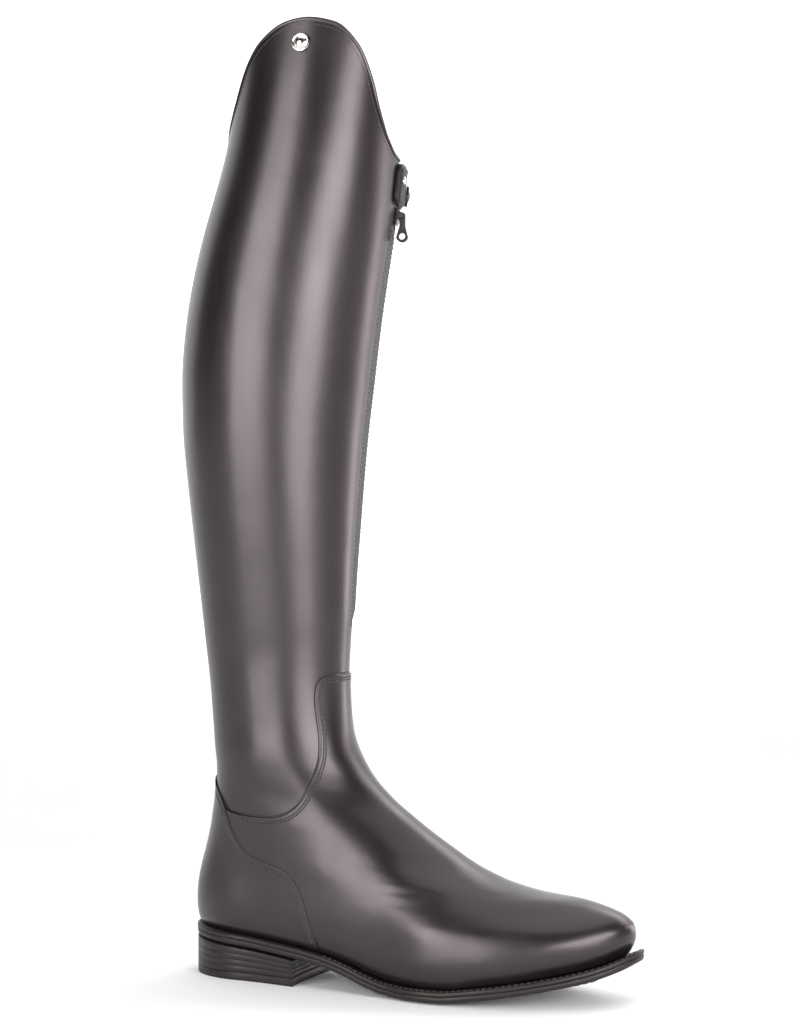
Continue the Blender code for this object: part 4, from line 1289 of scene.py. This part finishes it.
def make_floor():
    mesh = bpy.data.meshes.new("studio_floor")
    reach = 14.0
    mesh.from_pydata(
        [(-reach, -reach, 0.0), (reach, -reach, 0.0), (reach, reach, 0.0), (-reach, reach, 0.0)],
        [], [(0, 1, 2, 3)],
    )
    nodes = Nodes("pale_floor")
    nodes.set(Base_Color=nodes.blend(nodes.noise(3.0), (0.86, 0.86, 0.86), (0.9, 0.9, 0.9)))
    nodes.set(Roughness=0.9, Specular_IOR_Level=0.1, Emission_Color=(1.0, 1.0, 1.0, 1.0))
    away = nodes.add("VectorMath")
    away.operation = "LENGTH"
    nodes.tree.links.new(nodes.place, away.inputs[0])
    glow = nodes.spread(away.outputs["Value"], 0.0, FLOOR_GLOW, 0.6, 2.0)
    nodes.set(Emission_Strength=glow)
    mesh.materials.append(nodes.material)
    add_object("studio_floor", mesh)


def add_softbox(name, azimuth, distance, middle, width, height, power, colour=(1.0, 1.0, 1.0)):
    """Upright area light that faces the leg. Azimuth 0 is the toe's side, -90 the outer side."""
    data = bpy.data.lights.new(name, "AREA")
    data.shape = "RECTANGLE"
    data.size = width
    data.size_y = height
    data.energy = power
    data.color = colour
    light = add_object(name, data)
    angle = math.radians(azimuth)
    aim = Vector((0.02, 0.0, middle))
    light.location = aim + Vector((math.cos(angle), math.sin(angle), 0.0)) * distance
    light.rotation_euler = (aim - light.location).to_track_quat("-Z", "Z").to_euler()
    light.visible_camera = False
    return light


def make_backdrop():
    """Bright paper wall behind the boot, square to the camera."""
    turn = math.radians(CAMERA_TURN)
    away = Vector((-math.sin(turn), math.cos(turn), 0.0))
    side = Vector((math.cos(turn), math.sin(turn), 0.0))
    middle = Vector((0.05, 0.0, 0.0)) + away * 4.2
    corners = []
    for across, height in ((-8.4, 0.0), (12.9, 0.0), (12.9, 9.7), (-8.4, 9.7)):
        corners.append(middle + side * across + Vector((0.0, 0.0, height)))
    mesh = bpy.data.meshes.new("backdrop")
    mesh.from_pydata(corners, [], [(0, 1, 2, 3)])
    nodes = Nodes("backdrop_paper")
    nodes.set(Roughness=1.0, Specular_IOR_Level=0.0, Emission_Strength=1.0)
    nodes.set(Base_Color=(0.8, 0.8, 0.8, 1.0), Emission_Color=(1.0, 1.0, 1.0, 1.0))
    mesh.materials.append(nodes.material)
    add_object("backdrop", mesh)


def make_studio():
    make_floor()
    make_backdrop()
    world = bpy.data.worlds.new("studio")
    world.use_nodes = True
    background = world.node_tree.nodes["Background"].inputs
    background["Color"].default_value = (1.0, 0.97, 0.97, 1.0)
    background["Strength"].default_value = 0.05
    bpy.context.scene.world = world
    add_softbox("softbox_left", -104.0, 1.5, 0.36, 0.95, 1.3, 31.0)
    add_softbox("softbox_right", -36.0, 1.5, 0.36, 0.62, 1.3, 28.0)
    add_softbox("rim_light", 43.0, 1.5, 0.36, 0.30, 1.3, 6.0, (1.0, 0.9, 0.93))
    add_softbox("floor_light", 60.0, 1.3, 1.4, 1.6, 0.8, 16.0)
    ceiling = add_softbox("ceiling", 0.0, 0.1, 0.3, 1.5, 1.5, 12.0)
    ceiling.location = (0.15, -0.1, 1.6)
    ceiling.rotation_euler = (0.0, 0.0, 0.0)
    bpy.context.scene.view_settings.view_transform = "Standard"


CAMERA_PLACE = (0.65875, -1.26635, 0.280)
CAMERA_TURN = 24.0
CAMERA_LENS = 81.6
SENSOR = 36.0


def make_camera():
    data = bpy.data.cameras.new("camera")
    data.lens = CAMERA_LENS
    data.sensor_width = SENSOR
    data.sensor_fit = "AUTO"
    data.clip_start = 0.05
    data.clip_end = 50.0
    camera = add_object("camera", data)
    camera.location = CAMERA_PLACE
    camera.rotation_euler = (math.radians(90.0), 0.0, math.radians(CAMERA_TURN))
    bpy.context.scene.camera = camera


make_studio()
make_camera()
